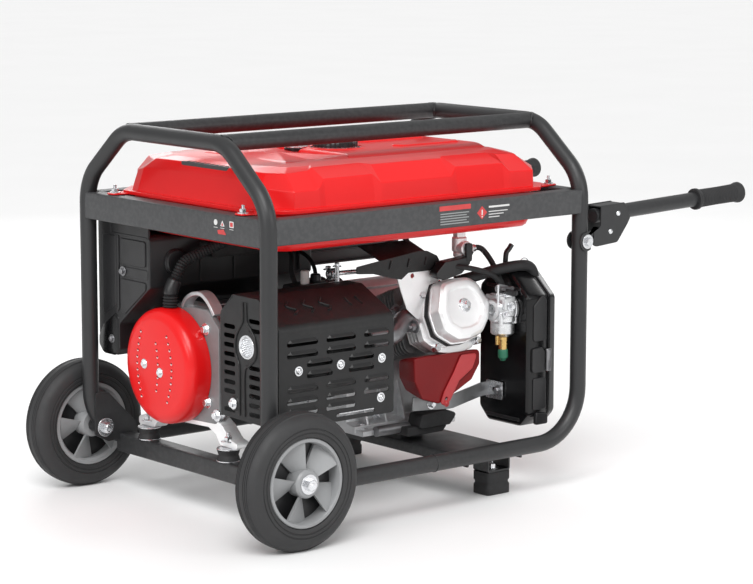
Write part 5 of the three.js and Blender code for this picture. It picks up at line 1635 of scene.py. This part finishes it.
def carburettor():
    body = Form()
    y, z = INTAKE_AT
    body.rod(19, "x", (212.6, 249.8), INTAKE_AT, 40, edge=1.5)
    body.rod(26, "x", (242, 249.8), INTAKE_AT, 40, edge=1.5)
    body.prism(rounded(box_outline((y - 25, y + 25), (z - 14, z + 25)), 5), "x", (216, 240))
    body.rod(22.5, "z", (284, 296), BOWL_AT, 40, edge=1.5)
    body.rod(20.5, "z", (262, 284), BOWL_AT, 40, edge=2.5)
    body.rod(12, "z", (256, 264), BOWL_AT, 32, edge=2)
    for dx in (-16, 16):
        body.rod(4.5, "z", (281, 300), (BOWL_AT[0] + dx, BOWL_AT[1] - 14), 20)
    body.build("carburettor_body", "machined_metal", replaces="carburetor", bevel=0.8, angle=30)
    trim = Form().rod(3.2, "x", (204, 246), (-186, 334), 20)
    trim.prism(rounded([(222, -192), (246, -192), (246, -150), (222, -150)], 4), "z", (329, 332))
    trim.bolt((229, -190, 332), "z", across=7, head=5)
    trim.bolt((241, -156, 332), "z", across=7, head=5)
    trim.rod(2.2, "z", (318, 352), (205, -188), 14)
    trim.bolt((230, -193.5, 312), "-y", across=9, head=5)
    trim.bolt((218, -193.5, 300), "-y", across=7)
    trim.build("carburettor_trim", "zinc", angle=30)


def governor():
    """The spring and two levers above the carburettor."""
    turn, pitch = 0.8, 0.4
    coil = [(212 + pitch * k, -188 + 2.6 * math.cos(k * turn), 343 + 2.6 * math.sin(k * turn))
            for k in range(70)]
    Form().tube(coil, 0.7, 6).build("governor_spring", "steel")
    levers = Form()
    levers.prism(rounded([(206, 338), (232, 338), (236, 346), (212, 352), (204, 348)], 3), "y", (-182, -180))
    levers.prism(rounded([(226, 332), (246, 334), (246, 342), (230, 342)], 3), "y", (-176, -174))
    levers.build("governor_levers", "steel", bevel=0.4)


def fuel_cutoff():
    """Brass shut-off solenoid under the bowl with a green cap, and the drain screws beside it."""
    brass = Form().rod(7.6, "z", (238, 258), CUTOFF_AT, 28, edge=1)
    brass.lathe([(0, 256), (9, 256), (9, 260), (0, 260)], "z", (*CUTOFF_AT, 0), 6)
    brass.build("fuel_cutoff_valve", "brass", angle=30)
    cap = Form()
    cap.lathe([(0, 219), (4.5, 219), (5.5, 222), (8.2, 224), (8.6, 226), (8.6, 237), (7.6, 239), (0, 239)],
              "z", (*CUTOFF_AT, 0), 28)
    cap.build("fuel_cutoff_cap", "green_plastic", angle=35)
    pins = Form()
    for x in (211, 228):
        pins.rod(3.4, "z", (246, 262), (x, -180), 14)
    pins.build("carburettor_drain_screws", "brass")
    Form().ring(10, 18, "x", (207, 213), INTAKE_AT, 40).build("intake_spacer", "cast_metal")


def choke_lever():
    lever = Form()
    outline = rounded([(-214, 334), (-206, 332), (-176, 334), (-172, 340), (-178, 344), (-206, 342),
                       (-214, 342)], 3)
    lever.prism(outline, "x", (222, 226))
    lever.rod(5, "x", (219.4, 228.6), (-178, 338), 20)
    lever.rod(4.2, "x", (219.6, 228.4), (-209, 338), 20)
    lever.build("choke_lever", "plastic", "choke_lever", replaces="choke_lever", bevel=0.6)


def fuel_valve():
    body = Form()
    x, y = 176, -120
    body.rod(13, "z", (404, 430), (x, y), 32, edge=2)
    body.lathe([(0, 430), (11, 430), (11, 440), (0, 440)], "z", (x, y, 0), 6)
    body.rod(7, "z", (438, 449.7), (x, y), 24)
    body.rod(11, "z", (395, 404), (x, y), 32, edge=2)
    body.rod(6, "x", (176, 200), (y, 407), 20)
    body.lathe([(4, 197), (6.4, 197), (6.4, 206), (5.2, 207), (4, 207), (4, 197)], "x", (0, y, 407), 20)
    body.rod(12, "y", (-140, -120), (x, 412), 32, edge=1.5)
    body.build("fuel_valve_body", "white_metal", replaces="fuel_valve", bevel=0.6, angle=30)
    lever = Form()
    lever.prism(rounded([(170, 389.5), (182, 389.5), (183, 421), (169, 421)], 4), "y", (-146.6, -142))
    lever.rod(7, "y", (-147, -140.4), (x, 412), 24)
    lever.build("fuel_valve_lever", "plastic", "fuel_valve_lever", replaces="fuel_valve_lever", bevel=0.8)


def fuel_hose():
    """The hose from the valve down to the carburettor, with a clip at each end."""
    fuel = Form()
    path = smooth_path([(205, -120, 407), (218, -121, 407.5), (228, -124, 402), (234, -138, 384),
                        (236, -152, 362), (236, -164, 345), (236, -168, 330)], 10)
    fuel.tube(path, 4.9, 18)
    fuel.build("fuel_hose", "rubber", replaces="fuel_hose")
    clips = Form()
    for k, at in ((2, path[2]), (-3, path[-6])):
        along = path[k + 1] - path[k] if k > 0 else path[-1] - path[-4]
        clips.lathe([(5, -2.4), (6.6, -2.4), (6.6, 2.4), (5, 2.4), (5, -2.4)], along, at, 24)
    clips.build("fuel_hose_clips", "zinc", angle=30)


def breather_and_leads():
    """Breather hose, two thin vacuum hoses and the ignition lead, with the bracket that holds them."""
    breather = Form()
    path = smooth_path([(168, -118, 352), (196, -140, 362), (224, -160, 372), (262, -170, 377),
                        (290, -172, 374), (302, -172, 358), (304, -170, 336)], 10)
    breather.tube(path, 9.5, 22)
    breather.build("breather_hose", "rubber")
    thin = Form()
    lower = [(130, -128, 384), (158, -150, 382), (190, -162, 374), (216, -166, 362), (228, -168, 348)]
    upper = [(118, -124, 388), (150, -135, 390), (178, -138, 396), (190, -136, 404)]
    thin.tube(smooth_path(lower, 10), 4.6, 16)
    thin.tube(smooth_path(upper, 8), 4.0, 16)
    thin.build("vacuum_hoses", "rubber")
    route = [(99, -60, 446), (103, -62, 430), (112, -66, 408), (128, -80, 392), (120, -104, 382)]
    Form().tube(smooth_path(route, 8), 5.2, 16).build("ignition_lead", "rubber")
    outline = rounded([(98, 372), (122, 394), (172, 398), (182, 388), (160, 370), (120, 362)], 7)
    Form().prism(outline, "y", (-146, -126)).build("breather_bracket", "plastic", bevel=2, angle=30)


def air_cleaner():
    """Base and cover, meeting at x1, with their pressed panels."""
    x0, x1 = 250, 298
    y0, y1, z0, z1 = -215, -90, 100, 368
    outline = rounded([(y0, z0 + 22), (y0 + 22, z0), (y1 - 22, z0), (y1, z0 + 22), (y1, z1 - 30),
                       (y1 - 34, z1), (y0 + 46, z1), (y0, z1 - 40)], 12)
    levels = [(x0, 0.93), (x0 + 3, 0.985), (x0 + 8, 1.0), (x1 - 8, 1.0), (x1 - 6, 0.985), (x1, 0.985)]
    base = Form().rings(stacked(outline, levels), matrix=plane_of("x"))
    base.build("air_cleaner_base", "gloss_plastic", replaces="air_cleaner_base", bevel=0.8, angle=30)
    levels = [(x1 + 0.3, 1.0), (x1 + 5, 1.0), (x1 + 7, 0.985), (x1 + 14, 0.975), (x1 + 19, 0.93)]
    cover = Form().rings(stacked(outline, levels), matrix=plane_of("x"))
    for k in range(5):
        z = 150 + 42 * k
        cover.prism(rounded(box_outline((y0 + 22, y1 - 22), (z - 7, z + 7)), 5), "x", (x1 + 17, x1 + 19.6))
    cover.build("air_cleaner_cover", "gloss_plastic", replaces="air_cleaner_cover", bevel=0.8, angle=30)


def air_cleaner_panels():
    ribs = Form().prism(rounded([(262, 130), (292, 130), (292, 186), (262, 186)], 5), "y", (-217.4, -213))
    ribs.prism(rounded([(258, 196), (287, 196), (287, 232), (280, 240), (258, 238)], 6), "y", (-219.4, -213))
    ribs.prism(rounded([(262, 250), (292, 250), (292, 322), (282, 330), (262, 312)], 6), "y", (-217.4, -213))
    ribs.prism(rounded([(268, 104), (296, 104), (296, 122), (268, 126)], 4), "y", (-218.4, -211))
    for z in (112, 340):
        ribs.prism(rounded(box_outline((-196, -110), (z - 3, z + 3)), 2), "x", (248.6, 252))
    ribs.build("air_cleaner_panels", "plastic", bevel=1.4, angle=30)


def air_cleaner_latch():
    latch = Form()
    latch.rings([[(x, y, z) for x, z in box_outline((290.2 + s, 301.8 - s), (196.4 + s, 235.6 - s), 3)]
                 for y, s in ((-216.4, 0.6), (-217, 0), (-219.6, 0), (-220.8, 1.2))])
    latch.tube([(291.5, -219.6, 199), (291.5, -219.6, 233)], 1.3, 10)
    for k in range(4):
        latch.block((292, 301), (-221, -219.8), (201 + 4 * k, 202.8 + 4 * k))
    latch.build("air_cleaner_latch", "steel", "air_cleaner_latch", replaces="air_cleaner_latch", bevel=0.5)


def breather_stub():
    """The bent pipe on top of the air cleaner, and the wire clip of the breather hose."""
    hook = Form()
    route = [(256, -150, 366), (256, -150, 384), (258, -150, 398), (264, -150, 404), (270, -150, 411)]
    hook.tube(smooth_path(route, 6), 4.6, 14)
    hook.tube([(250, -150, 366), (286, -150, 372)], 5.4, 14)
    hook.build("breather_stub", "plastic")
    clip = Form()
    ring = [(300 + 10 * math.cos(k * 0.35), -150, 376 + 9 * math.sin(k * 0.35)) for k in range(11)]
    clip.tube(ring, 1.0, 8)
    coil = [(296 + 1.6 * k / 4, -150 + 4 * math.cos(k * 0.7), 374 + 4 * math.sin(k * 0.7))
            for k in range(36)]
    clip.tube(coil, 0.8, 8)
    clip.build("hose_wire_clip", "zinc")


def filter_strap():
    """Steel stay from the engine base to a slotted tab on the air cleaner."""
    form = Form()
    form.strip(bent([(70, -122, 151), (150, -126, 146), (156, -126, 146), (226, -122, 158),
                     (232, -121, 158)], 4),
               24, 2.4, (0, -1, 0))
    form.build("filter_strap", "dull_zinc", bevel=0.5)
    tab = rounded(box_outline((-156, -114), (141, 173)), 4)
    plate("filter_strap_tab", tab, [slot_hole((-152, -130), (152, 162))], "x", (245.6, 248), "zinc", edge=0.4)
    bend = Form().strip([(230, -121, 158), (247, -120, 158)], 24, 2.4, (0, -1, 0))
    bend.build("filter_strap_bend", "dull_zinc", bevel=0.4)
    Form().bolt((245.6, -146, 157), "-x").build("filter_strap_bolt", "steel", angle=30)
    Form().bolt((110, -124.6, 147), "-y").build("strap_inner_bolt", "zinc", angle=30)


def rubber_mounts():
    height = 21.4
    spots = [("alternator_mount_front", -272, -58, 90.3), ("alternator_mount_rear", -272, 168, 90.3),
             ("engine_mount_front", 140, -40, 78.3), ("engine_mount_rear", 140, 190, 78.3)]
    for name, x, y, low in spots:
        high = low + height
        form = Form()
        middle = (low + high) / 2
        form.lathe([(0, low), (18, low), (19.6, low + 2), (17.4, middle - 2), (16.6, middle),
                    (17.4, middle + 2), (19.6, high - 2), (18, high), (0, high)], "z", (x, y, 0), 40)
        form.build(name, "rubber", replaces=name, angle=50)
        nuts = Form().rod(20, "z", (low - 0.2, low + 1.8), (x, y), 40)
        nuts.rod(20, "z", (high - 1.8, high + 0.2), (x, y), 40)
        nuts.build(name + "_washers", "zinc", angle=30)


def engine_bracket():
    """Rubber blocks and a rod low in front of the engine."""
    blocks = Form()
    blocks.prism(rounded([(90, 104), (160, 104), (176, 122), (150, 132), (96, 128)], 6), "y", (-118, -84))
    blocks.prism(rounded([(70, 92), (150, 92), (162, 104), (70, 108)], 4), "y", (-110, -72))
    blocks.build("engine_bracket_block", "rubber", bevel=1.6, angle=30)
    Form().rod(9, "x", (20, 92), (-84, 104), 24).build("bracket_rod", "steel")


# ---------------------------------------------------------------- control box

BOX_X = (-314, 30)
BOX_OUTLINE = [(102, 360), (192, 290), (192, 246), (202, 234), (240, 234), (255, 246), (255, 470), (216, 470),
               (216, 447), (102, 447)]
BOX_KEEL = [(193, 300), (201, 309), (238, 286), (253, 262), (253, 248), (240, 234), (204, 234), (193, 246)]
PANEL_FACE = 259.2


def control_box():
    outline = rounded(BOX_OUTLINE, [8, 10, 6, 9, 9, 8, 5, 4, 4, 10], 5)
    x0, x1 = BOX_X
    levels = [(x0, 0.965), (x0 + 1.6, 0.988), (x0 + 5, 1.0), (x1 - 5, 1.0), (x1 - 1.6, 0.988), (x1, 0.965)]
    box = Form().rings(stacked(outline, levels), matrix=plane_of("x"))
    # The wall raised at the left end, up under the tank, is a dark sheet put where the space above the box
    # lies in shade: painted shade.
    box.prism(rounded(box_outline((106, 224), (438, 469)), 4), "x", (BOX_X[0] + 0.6, BOX_X[0] + 5))
    box.build("control_box", "plastic", replaces="control_box", bevel=0.8, angle=28)


def control_box_ends():
    """Raised panels and glossy lower corners at both ends of the box, with their bolts."""
    side, lower = Form(), Form()
    for x0, x1 in ((BOX_X[0] - 2.2, BOX_X[0] + 4), (BOX_X[1] - 4, BOX_X[1] + 2.2)):
        side.prism(rounded([(112, 356), (174, 309), (186, 312), (186, 369), (112, 369)], 6), "x", (x0, x1))
        side.prism(rounded([(112, 394), (186, 394), (186, 438), (112, 438)], 6), "x", (x0, x1))
        side.prism(rounded([(106, 372.5), (187, 372.5), (187, 390.5), (106, 390.5)], 6), "x",
                   (x0 + 1, x1 - 1))
        side.prism(rounded([(200, 322), (240, 300), (240, 440), (200, 440)], 5), "x", (x0 + 1.2, x1 - 1.2))
    for x in (BOX_X[0] - 0.4, BOX_X[1] + 0.4):
        side.tube([(x, 192.5, 441), (x, 192.5, 318), (x, 197, 311)], 2.3, 12)
    side.build("control_box_panels", "plastic", bevel=1.6, segments=3)
    keel = rounded(BOX_KEEL, [6, 8, 10, 8, 8, 14, 12, 8], 5)
    for x, outward in ((BOX_X[0], -1), (BOX_X[1], 1)):
        steps = ((-14, 0.97), (0, 1.0), (1.6, 0.96), (2.6, 0.88))
        levels = [(x + outward * out, scale) for out, scale in steps]
        lower.rings(stacked(keel, levels), matrix=plane_of("x"))
    lower.build("control_box_lower_corners", "gloss_plastic", angle=40)
    for name, x, axis in (("left", BOX_X[0] - 1.6, "-x"), ("right", BOX_X[1] + 1.6, "x")):
        ends = Form().bolt((x, 177, 382), axis, across=9, head=5)
        ends.bolt((x, 212, 262), axis, across=8, head=4)
        ends.build(f"control_box_bolts_{name}", "steel", angle=30)


def control_box_front():
    """The round cap, the conduit's gland and four ribs on the side towards the engine."""
    gland = Form()
    gland.lathe([(0, 0), (22, 0), (22, 4), (20.6, 5), (20.6, 7), (18.5, 8.6), (0, 9)], "-y",
                (-262, 103, 402), 48)
    gland.build("control_box_cap", "plastic", angle=35)
    collar = Form().ring(10, 14, "y", (88, 103), (-176, 435), 32, edge=1)
    collar.build("conduit_gland", "plastic")
    ribs = Form()
    for x in (-210, -140, -70, 0):
        ribs.block((x - 1.5, x + 1.5), (98.8, 103), (364, 430))
    ribs.build("control_box_ribs", "plastic", bevel=0.6)


def panel_apron():
    """The ribbed sheet beside the panel, and the hangers that carry the box."""
    apron = Form().prism([(247.4, 343.4), (250, 343.4), (250, 447), (247.4, 447)], "x", (27, 318))
    apron.prism([(234, 343.4), (250, 343.4), (250, 346), (234, 346)], "x", (27, 318))
    for z in (366, 424):
        apron.tube([(44, 246.8, z), (302, 246.8, z)], 2.2, 10)
        apron.tube([(44, 250.4, z), (302, 250.4, z)], 2.2, 10)
    apron.prism(rounded(box_outline((60, 120), (384, 408)), 4), "y", (244.6, 252))
    apron.build("panel_apron", "grey_apron", bevel=0.6, angle=30)
    hanger = Form()
    for x in (-250, 0):
        hook = [(222, 469), (256, 469), (256, 474), (252, 474), (252, 472.5), (222, 472.5)]
        hanger.prism(hook, "x", (x - 12, x + 12))
    hanger.build("control_box_hangers", "charcoal_paint", bevel=0.4)


def control_panel():
    outline = rounded(box_outline((-310, 26), (246, 466)), 10, 6)
    vents = [slot_hole(u, (z - 2.4, z + 2.4)) for z in (262, 272, 282) for u in ((-280, -200), (-180, -100))]
    plate("control_panel", outline, vents, "y", (255.3, PANEL_FACE), "grey_plastic",
          replaces="control_panel", edge=1.0)
    rim = [(x, PANEL_FACE, z) for x, z in shrink(outline, 0.975)]
    Form().tube(rim, 1.6, 10, closed=True).build("control_panel_bead", "plastic")
    for k, x in enumerate((-236, -160)):
        socket_outlet(f"outlet_{k + 1}", x, 330)
    round_socket("outlet_3", -76, 326)
    meter()
    switches()
    panel_screws()
    terminals()
    panel_marks()


def panel_screws():
    trims = Form()
    for x, z in ((-302, 457), (18, 457), (-302, 255), (18, 255), (-142, 457), (-142, 255)):
        trims.screw((x, PANEL_FACE, z), "y", 3.4)
    trims.build("control_panel_screws", "zinc", angle=30)


def terminals():
    ground = Form().bolt((0, PANEL_FACE, 306), "y", across=12, stud=6)
    ground.build("ground_terminal", "brass", angle=30)
    for name, x, material in (("red", -36, "red_plastic"), ("black", -12, "plastic")):
        post = Form().lathe([(0, 0), (7, 0), (7, 10), (6, 12), (0, 12)], "y", (x, PANEL_FACE, 346), 10)
        post.build(f"dc_terminal_{name}", material, angle=30)


def panel_marks():
    """Wordless bars over the sockets and a small ring under the ground terminal."""
    marks = Form()
    for x in (-236, -160, -76):
        marks.block((x - 16, x + 16), (PANEL_FACE, PANEL_FACE + 0.5), (362, 364.5))
        marks.block((x - 9, x + 9), (PANEL_FACE, PANEL_FACE + 0.5), (367, 369))
    marks.ring(4, 5, "y", (PANEL_FACE, PANEL_FACE + 0.5), (0, 288), 24, edge=0.1)
    marks.build("control_panel_marks", "print_white")


def socket_outlet(name, x, z):
    ring = Form()
    ring.lathe([(20.5, 0), (26, 0), (26, 3), (24, 5), (21.5, 5), (20.5, 3), (20.5, 0)], "y",
               (x, PANEL_FACE, z), 56)
    ring.build(name + "_ring", "plastic", angle=35)
    face = Form().lathe([(0, 0), (20.8, 0), (20.8, 2.2), (0, 2.2)], "y", (x, PANEL_FACE, z), 48)
    face.build(name + "_face", "ceramic_white", angle=35)
    slots = Form().block((x - 9, x - 6.4), (PANEL_FACE + 2, PANEL_FACE + 2.7), (z - 2, z + 9))
    slots.block((x + 6.4, x + 9), (PANEL_FACE + 2, PANEL_FACE + 2.7), (z - 2, z + 9))
    slots.lathe([(0, 2), (3.2, 2), (3.2, 2.7), (0, 2.7)], "y", (x, PANEL_FACE, z - 9), 20)
    slots.build(name + "_slots", "gloss_plastic")


def round_socket(name, x, z):
    body = Form()
    flange = rounded(box_outline((x - 26, x + 26), (z - 26, z + 26)), 5)
    body.prism(flange, "y", (PANEL_FACE - 0.4, PANEL_FACE + 2.4))
    body.lathe([(17, 2), (22, 2), (22, 9), (20, 10), (17, 10), (17, 2)], "y", (x, PANEL_FACE, z), 48)
    body.build(name + "_body", "plastic", bevel=0.6, angle=35)
    pins = Form()
    for k in range(4):
        t = math.pi / 4 + k * math.pi / 2
        spot = (x + 10 * math.cos(t), PANEL_FACE, z + 10 * math.sin(t))
        pins.lathe([(0, 2), (2.6, 2), (2.6, 6.4), (0, 6.4)], "y", spot, 14)
    pins.build(name + "_pins", "brass", angle=35)


def meter():
    case = Form().prism(rounded(box_outline((-262, -202), (386, 428)), 5), "y", (PANEL_FACE - 0.3, 263.9))
    case.build("voltmeter_case", "gloss_plastic", bevel=1.2)
    dial = Form().prism(rounded(box_outline((-257, -207), (394, 424)), 2), "y", (263.2, 264.3))
    dial.build("voltmeter_dial", "clear_dial")
    scale = Form()
    for k in range(9):
        t = math.radians(140 - 12.5 * k)
        spot = Matrix.Translation((-232, 264.3, 396)) @ Matrix.Rotation(-(t - math.pi / 2), 4, "Y")
        scale.block((-0.35, 0.35), (0, 0.4), (19, 23), spot)
    spot = Matrix.Translation((-232, 264.3, 396)) @ Matrix.Rotation(-0.35, 4, "Y")
    scale.block((-0.45, 0.45), (0, 0.5), (0, 20), spot)
    scale.build("voltmeter_scale", "gloss_plastic")


def switches():
    plate_form = Form().lathe([(0, 0), (19, 0), (18, 1.6), (0, 1.6)], "y", (-24, PANEL_FACE - 1.7, 400), 40)
    plate_form.build("engine_switch_plate", "zinc", angle=30)
    knob = Form().lathe([(0, 0.2), (12, 0.2), (11.4, 6), (10, 7), (0, 7)], "y", (-24, PANEL_FACE, 400), 36)
    knob.prism(rounded(box_outline((-28, -20), (389, 411)), 3.6), "y", (PANEL_FACE + 5, 273.2))
    knob.build("engine_switch_knob", "red_plastic", "engine_switch", replaces="engine_switch", bevel=0.8)
    guard = Form()
    guard.prism(rounded(box_outline((-116, -84), (376, 424)), 4), "y", (PANEL_FACE - 1.4, PANEL_FACE - 0.02))
    guard.build("breaker_surround", "plastic", bevel=0.4)
    lever = Form().rod(5.8, "x", (-109.6, -90.4), (265.3, 400), 28)
    outline = rounded([(265.3, 395.2), (279.2, 396.6), (279.2, 403.4), (265.3, 404.8)], [0, 2, 2, 0])
    lever.prism(outline, "x", (-109, -91))
    lever.build("breaker_lever", "gloss_plastic", "breaker_lever", replaces="breaker_lever", bevel=0.8)
    lamp = Form().lathe([(0, 0), (6, 0), (6, 2), (4.4, 4.6), (0, 5.6)], "y", (-60, PANEL_FACE, 412), 24)
    lamp.build("pilot_lamp", "red_plastic", angle=40)


# ---------------------------------------------------------------- plain markings and under-tank parts

def left_markings():
    """Wordless shapes on the left band, where a machine like this carries printed panels."""
    x = -346.6
    white = Form().rod(4.6, "x", (x - 0.3, x + 0.4), (-129, 498), 28, edge=0.1)
    tri = [(-152.5, 493), (-141.5, 493), (-147, 502.5)]
    white.prism(rounded(tri, 0.6), "x", (x - 0.3, x + 0.4))
    white.prism(rounded(box_outline((-176.5, -166), (493, 503)), 0.8), "x", (x - 0.3, x + 0.4))
    for y in (-129, -147, -171):
        white.block((x - 0.3, x + 0.4), (y - 5, y + 5), (489.6, 490.4))
    white.build("left_marks_white", "print_white")
    red = Form().prism(rounded([(-149.6, 494.2), (-144.4, 494.2), (-147, 499)], 0.4), "x", (x - 0.6, x))
    red.prism(rounded(box_outline((-174.7, -167.8), (494.6, 501.4)), 0.6), "x", (x - 0.6, x))
    red.prism(rounded([(-157, 480), (-136, 480), (-134, 486), (-150, 488.4)], 1), "x", (x - 0.4, x + 0.4))
    red.build("left_marks_red", "print_red")


def front_markings():
    """Wordless bars and a diamond on the front band."""
    y = -262.6
    header = Form().prism(rounded(box_outline((6, 74), (500, 508)), 1), "y", (y - 0.3, y + 0.4))
    diamond = [(88, 491), (99, 502), (110, 491), (99, 480)]
    header.prism(rounded(diamond, 1), "y", (y - 0.3, y + 0.4))
    header.build("front_marks_red", "print_red")
    grey = Form()
    for k in range(5):
        z = 495 - k * 4.2
        grey.block((8, 70 - 5 * (k % 2)), (y - 0.3, y + 0.4), (z - 0.9, z + 0.9))
    grey.build("front_marks_grey", "print_grey")
    light = Form().block((114, 160), (y - 0.3, y + 0.4), (498, 501))
    for k in range(3):
        light.block((114, 156 - 9 * k), (y - 0.3, y + 0.4), (491 - 4.6 * k, 492.4 - 4.6 * k))
    light.block((97.8, 100.2), (y - 0.7, y), (487, 496))
    light.prism([(97.8, 483.4), (100.2, 483.4), (100.2, 485.4), (97.8, 485.4)], "y", (y - 0.7, y))
    light.build("front_marks_light", "print_white")


def heat_shield():
    """Sheet under the tank that keeps engine heat away from it."""
    form = Form().prism(rounded(box_outline((-190, 150), (-70, 96)), 10), "z", (441.5, 443.5))
    form.prism([(94, 443.5), (96, 443.5), (96, 402), (94, 402)], "x", (-190, 150))
    for x in (-150, -90, -30, 30, 90):
        form.tube([(x, -60, 441.2), (x, 88, 441.2)], 2.6, 10)
    form.build("tank_heat_shield", "heat_paint", bevel=0.6)


# ---------------------------------------------------------------- camera, light and floor

def camera():
    scene = bpy.context.scene
    made = link_new("camera", bpy.data.cameras.new("camera"))
    made.location = TO_ROW @ Vector((-2783.66, -3454.45, 1028.07))
    made.rotation_euler = (math.radians(90 - 8.858), math.radians(-0.102), math.radians(-39.756))
    made.data.sensor_width = 36
    made.data.lens = 125.56
    made.data.clip_end = 120
    scene.camera = made
    scene.view_settings.view_transform = "Standard"


def softbox(name, spot, aim, size, power):
    """A soft rectangular light pointed at a place on the machine, in metres."""
    light = bpy.data.lights.new(name, "AREA")
    light.shape = "RECTANGLE"
    light.size, light.size_y, light.energy = size, size * 0.6, power
    box = link_new(name, light)
    box.location = spot
    box.rotation_euler = (Vector(aim) - Vector(spot)).to_track_quat("-Z", "Y").to_euler()


def lights():
    sun = bpy.data.lights.new("overhead_light", "SUN")
    sun.energy = 2.15
    sun.angle = math.radians(34)
    holder = link_new("overhead_light", sun)
    holder.rotation_euler = Vector((0.60, 0.62, -0.95)).to_track_quat("-Z", "Y").to_euler()
    softbox("left_softbox", (-2.8, -0.6, 1.3), (-0.2, 0, 0.35), 1.3, 15)
    softbox("front_softbox", (0.6, -3.0, 1.5), (0, 0, 0.3), 1.6, 20)
    softbox("rear_softbox", (1.0, 3.0, 1.7), (0, 0, 0.4), 1.6, 20)
    softbox("right_softbox", (3.0, 0.4, 1.5), (0, 0, 0.35), 1.3, 12)


def studio_floor():
    make_material("floor", "frame_black", (0.86, 0.86, 0.86), 0.7, tint=0.01, patches=2, grain_depth=0.0)
    mesh = bpy.data.meshes.new("floor")
    reach = 60.0
    corners = [(-reach, -reach, 0), (reach, -reach, 0), (reach, reach, 0), (-reach, reach, 0)]
    mesh.from_pydata(corners, [], [(0, 1, 2, 3)])
    mesh.materials.append(MATERIALS["floor"])
    link_new("floor", mesh)


def studio_world():
    """Pale surroundings, brighter overhead than at the horizon."""
    world = bpy.data.worlds.new("studio")
    world.use_nodes = True
    tree = world.node_tree
    background = tree.nodes["Background"]
    place = tree.nodes.new("ShaderNodeTexCoord")
    split = tree.nodes.new("ShaderNodeSeparateXYZ")
    ramp = tree.nodes.new("ShaderNodeMapRange")
    ramp.inputs["From Min"].default_value = 0.0
    ramp.inputs["From Max"].default_value = 0.8
    ramp.inputs["To Min"].default_value = 0.42
    ramp.inputs["To Max"].default_value = 0.66
    tree.links.new(place.outputs["Generated"], split.inputs["Vector"])
    tree.links.new(split.outputs["Z"], ramp.inputs["Value"])
    tree.links.new(ramp.outputs["Result"], background.inputs["Strength"])
    background.inputs["Color"].default_value = (1.0, 1.0, 1.0, 1)
    bpy.context.scene.world = world


make_paints()
make_castings()
make_metals()
make_rubbers()
make_plastics()
make_prints()
camera()
lights()
studio_world()
studio_floor()
frame_tubes()
frame_welds()
axle_gussets()
bands()
cross_beams()
rubber_feet()
wheels()
handles()
tank_shell()
tank_rim()
tank_pad()
tank_recess()
tank_bottom()
filler()
fuel_cap()
fuel_gauge()
end_cover()
end_bracket()
stator()
front_housing()
rotor()
conduit()
guard_front()
guard_top()
guard_end()
muffler()
exhaust_pipe()
crankcase()
crankcase_ribs()
crankcase_rear()
starter_motor()
crankcase_bolts()
oil_filler()
cylinder()
cylinder_head()
rocker_cover()
crankshaft()
flywheel()
fan_housing()
recoil_cover()
recoil_grip()
starter_rope()
cylinder_shroud()
lower_shroud()
top_fittings()
carburettor()
governor()
fuel_cutoff()
choke_lever()
fuel_valve()
fuel_hose()
breather_and_leads()
air_cleaner()
air_cleaner_panels()
air_cleaner_latch()
breather_stub()
filter_strap()
rubber_mounts()
engine_bracket()
control_box()
control_box_ends()
control_box_front()
panel_apron()
control_panel()
left_markings()
front_markings()
heat_shield()
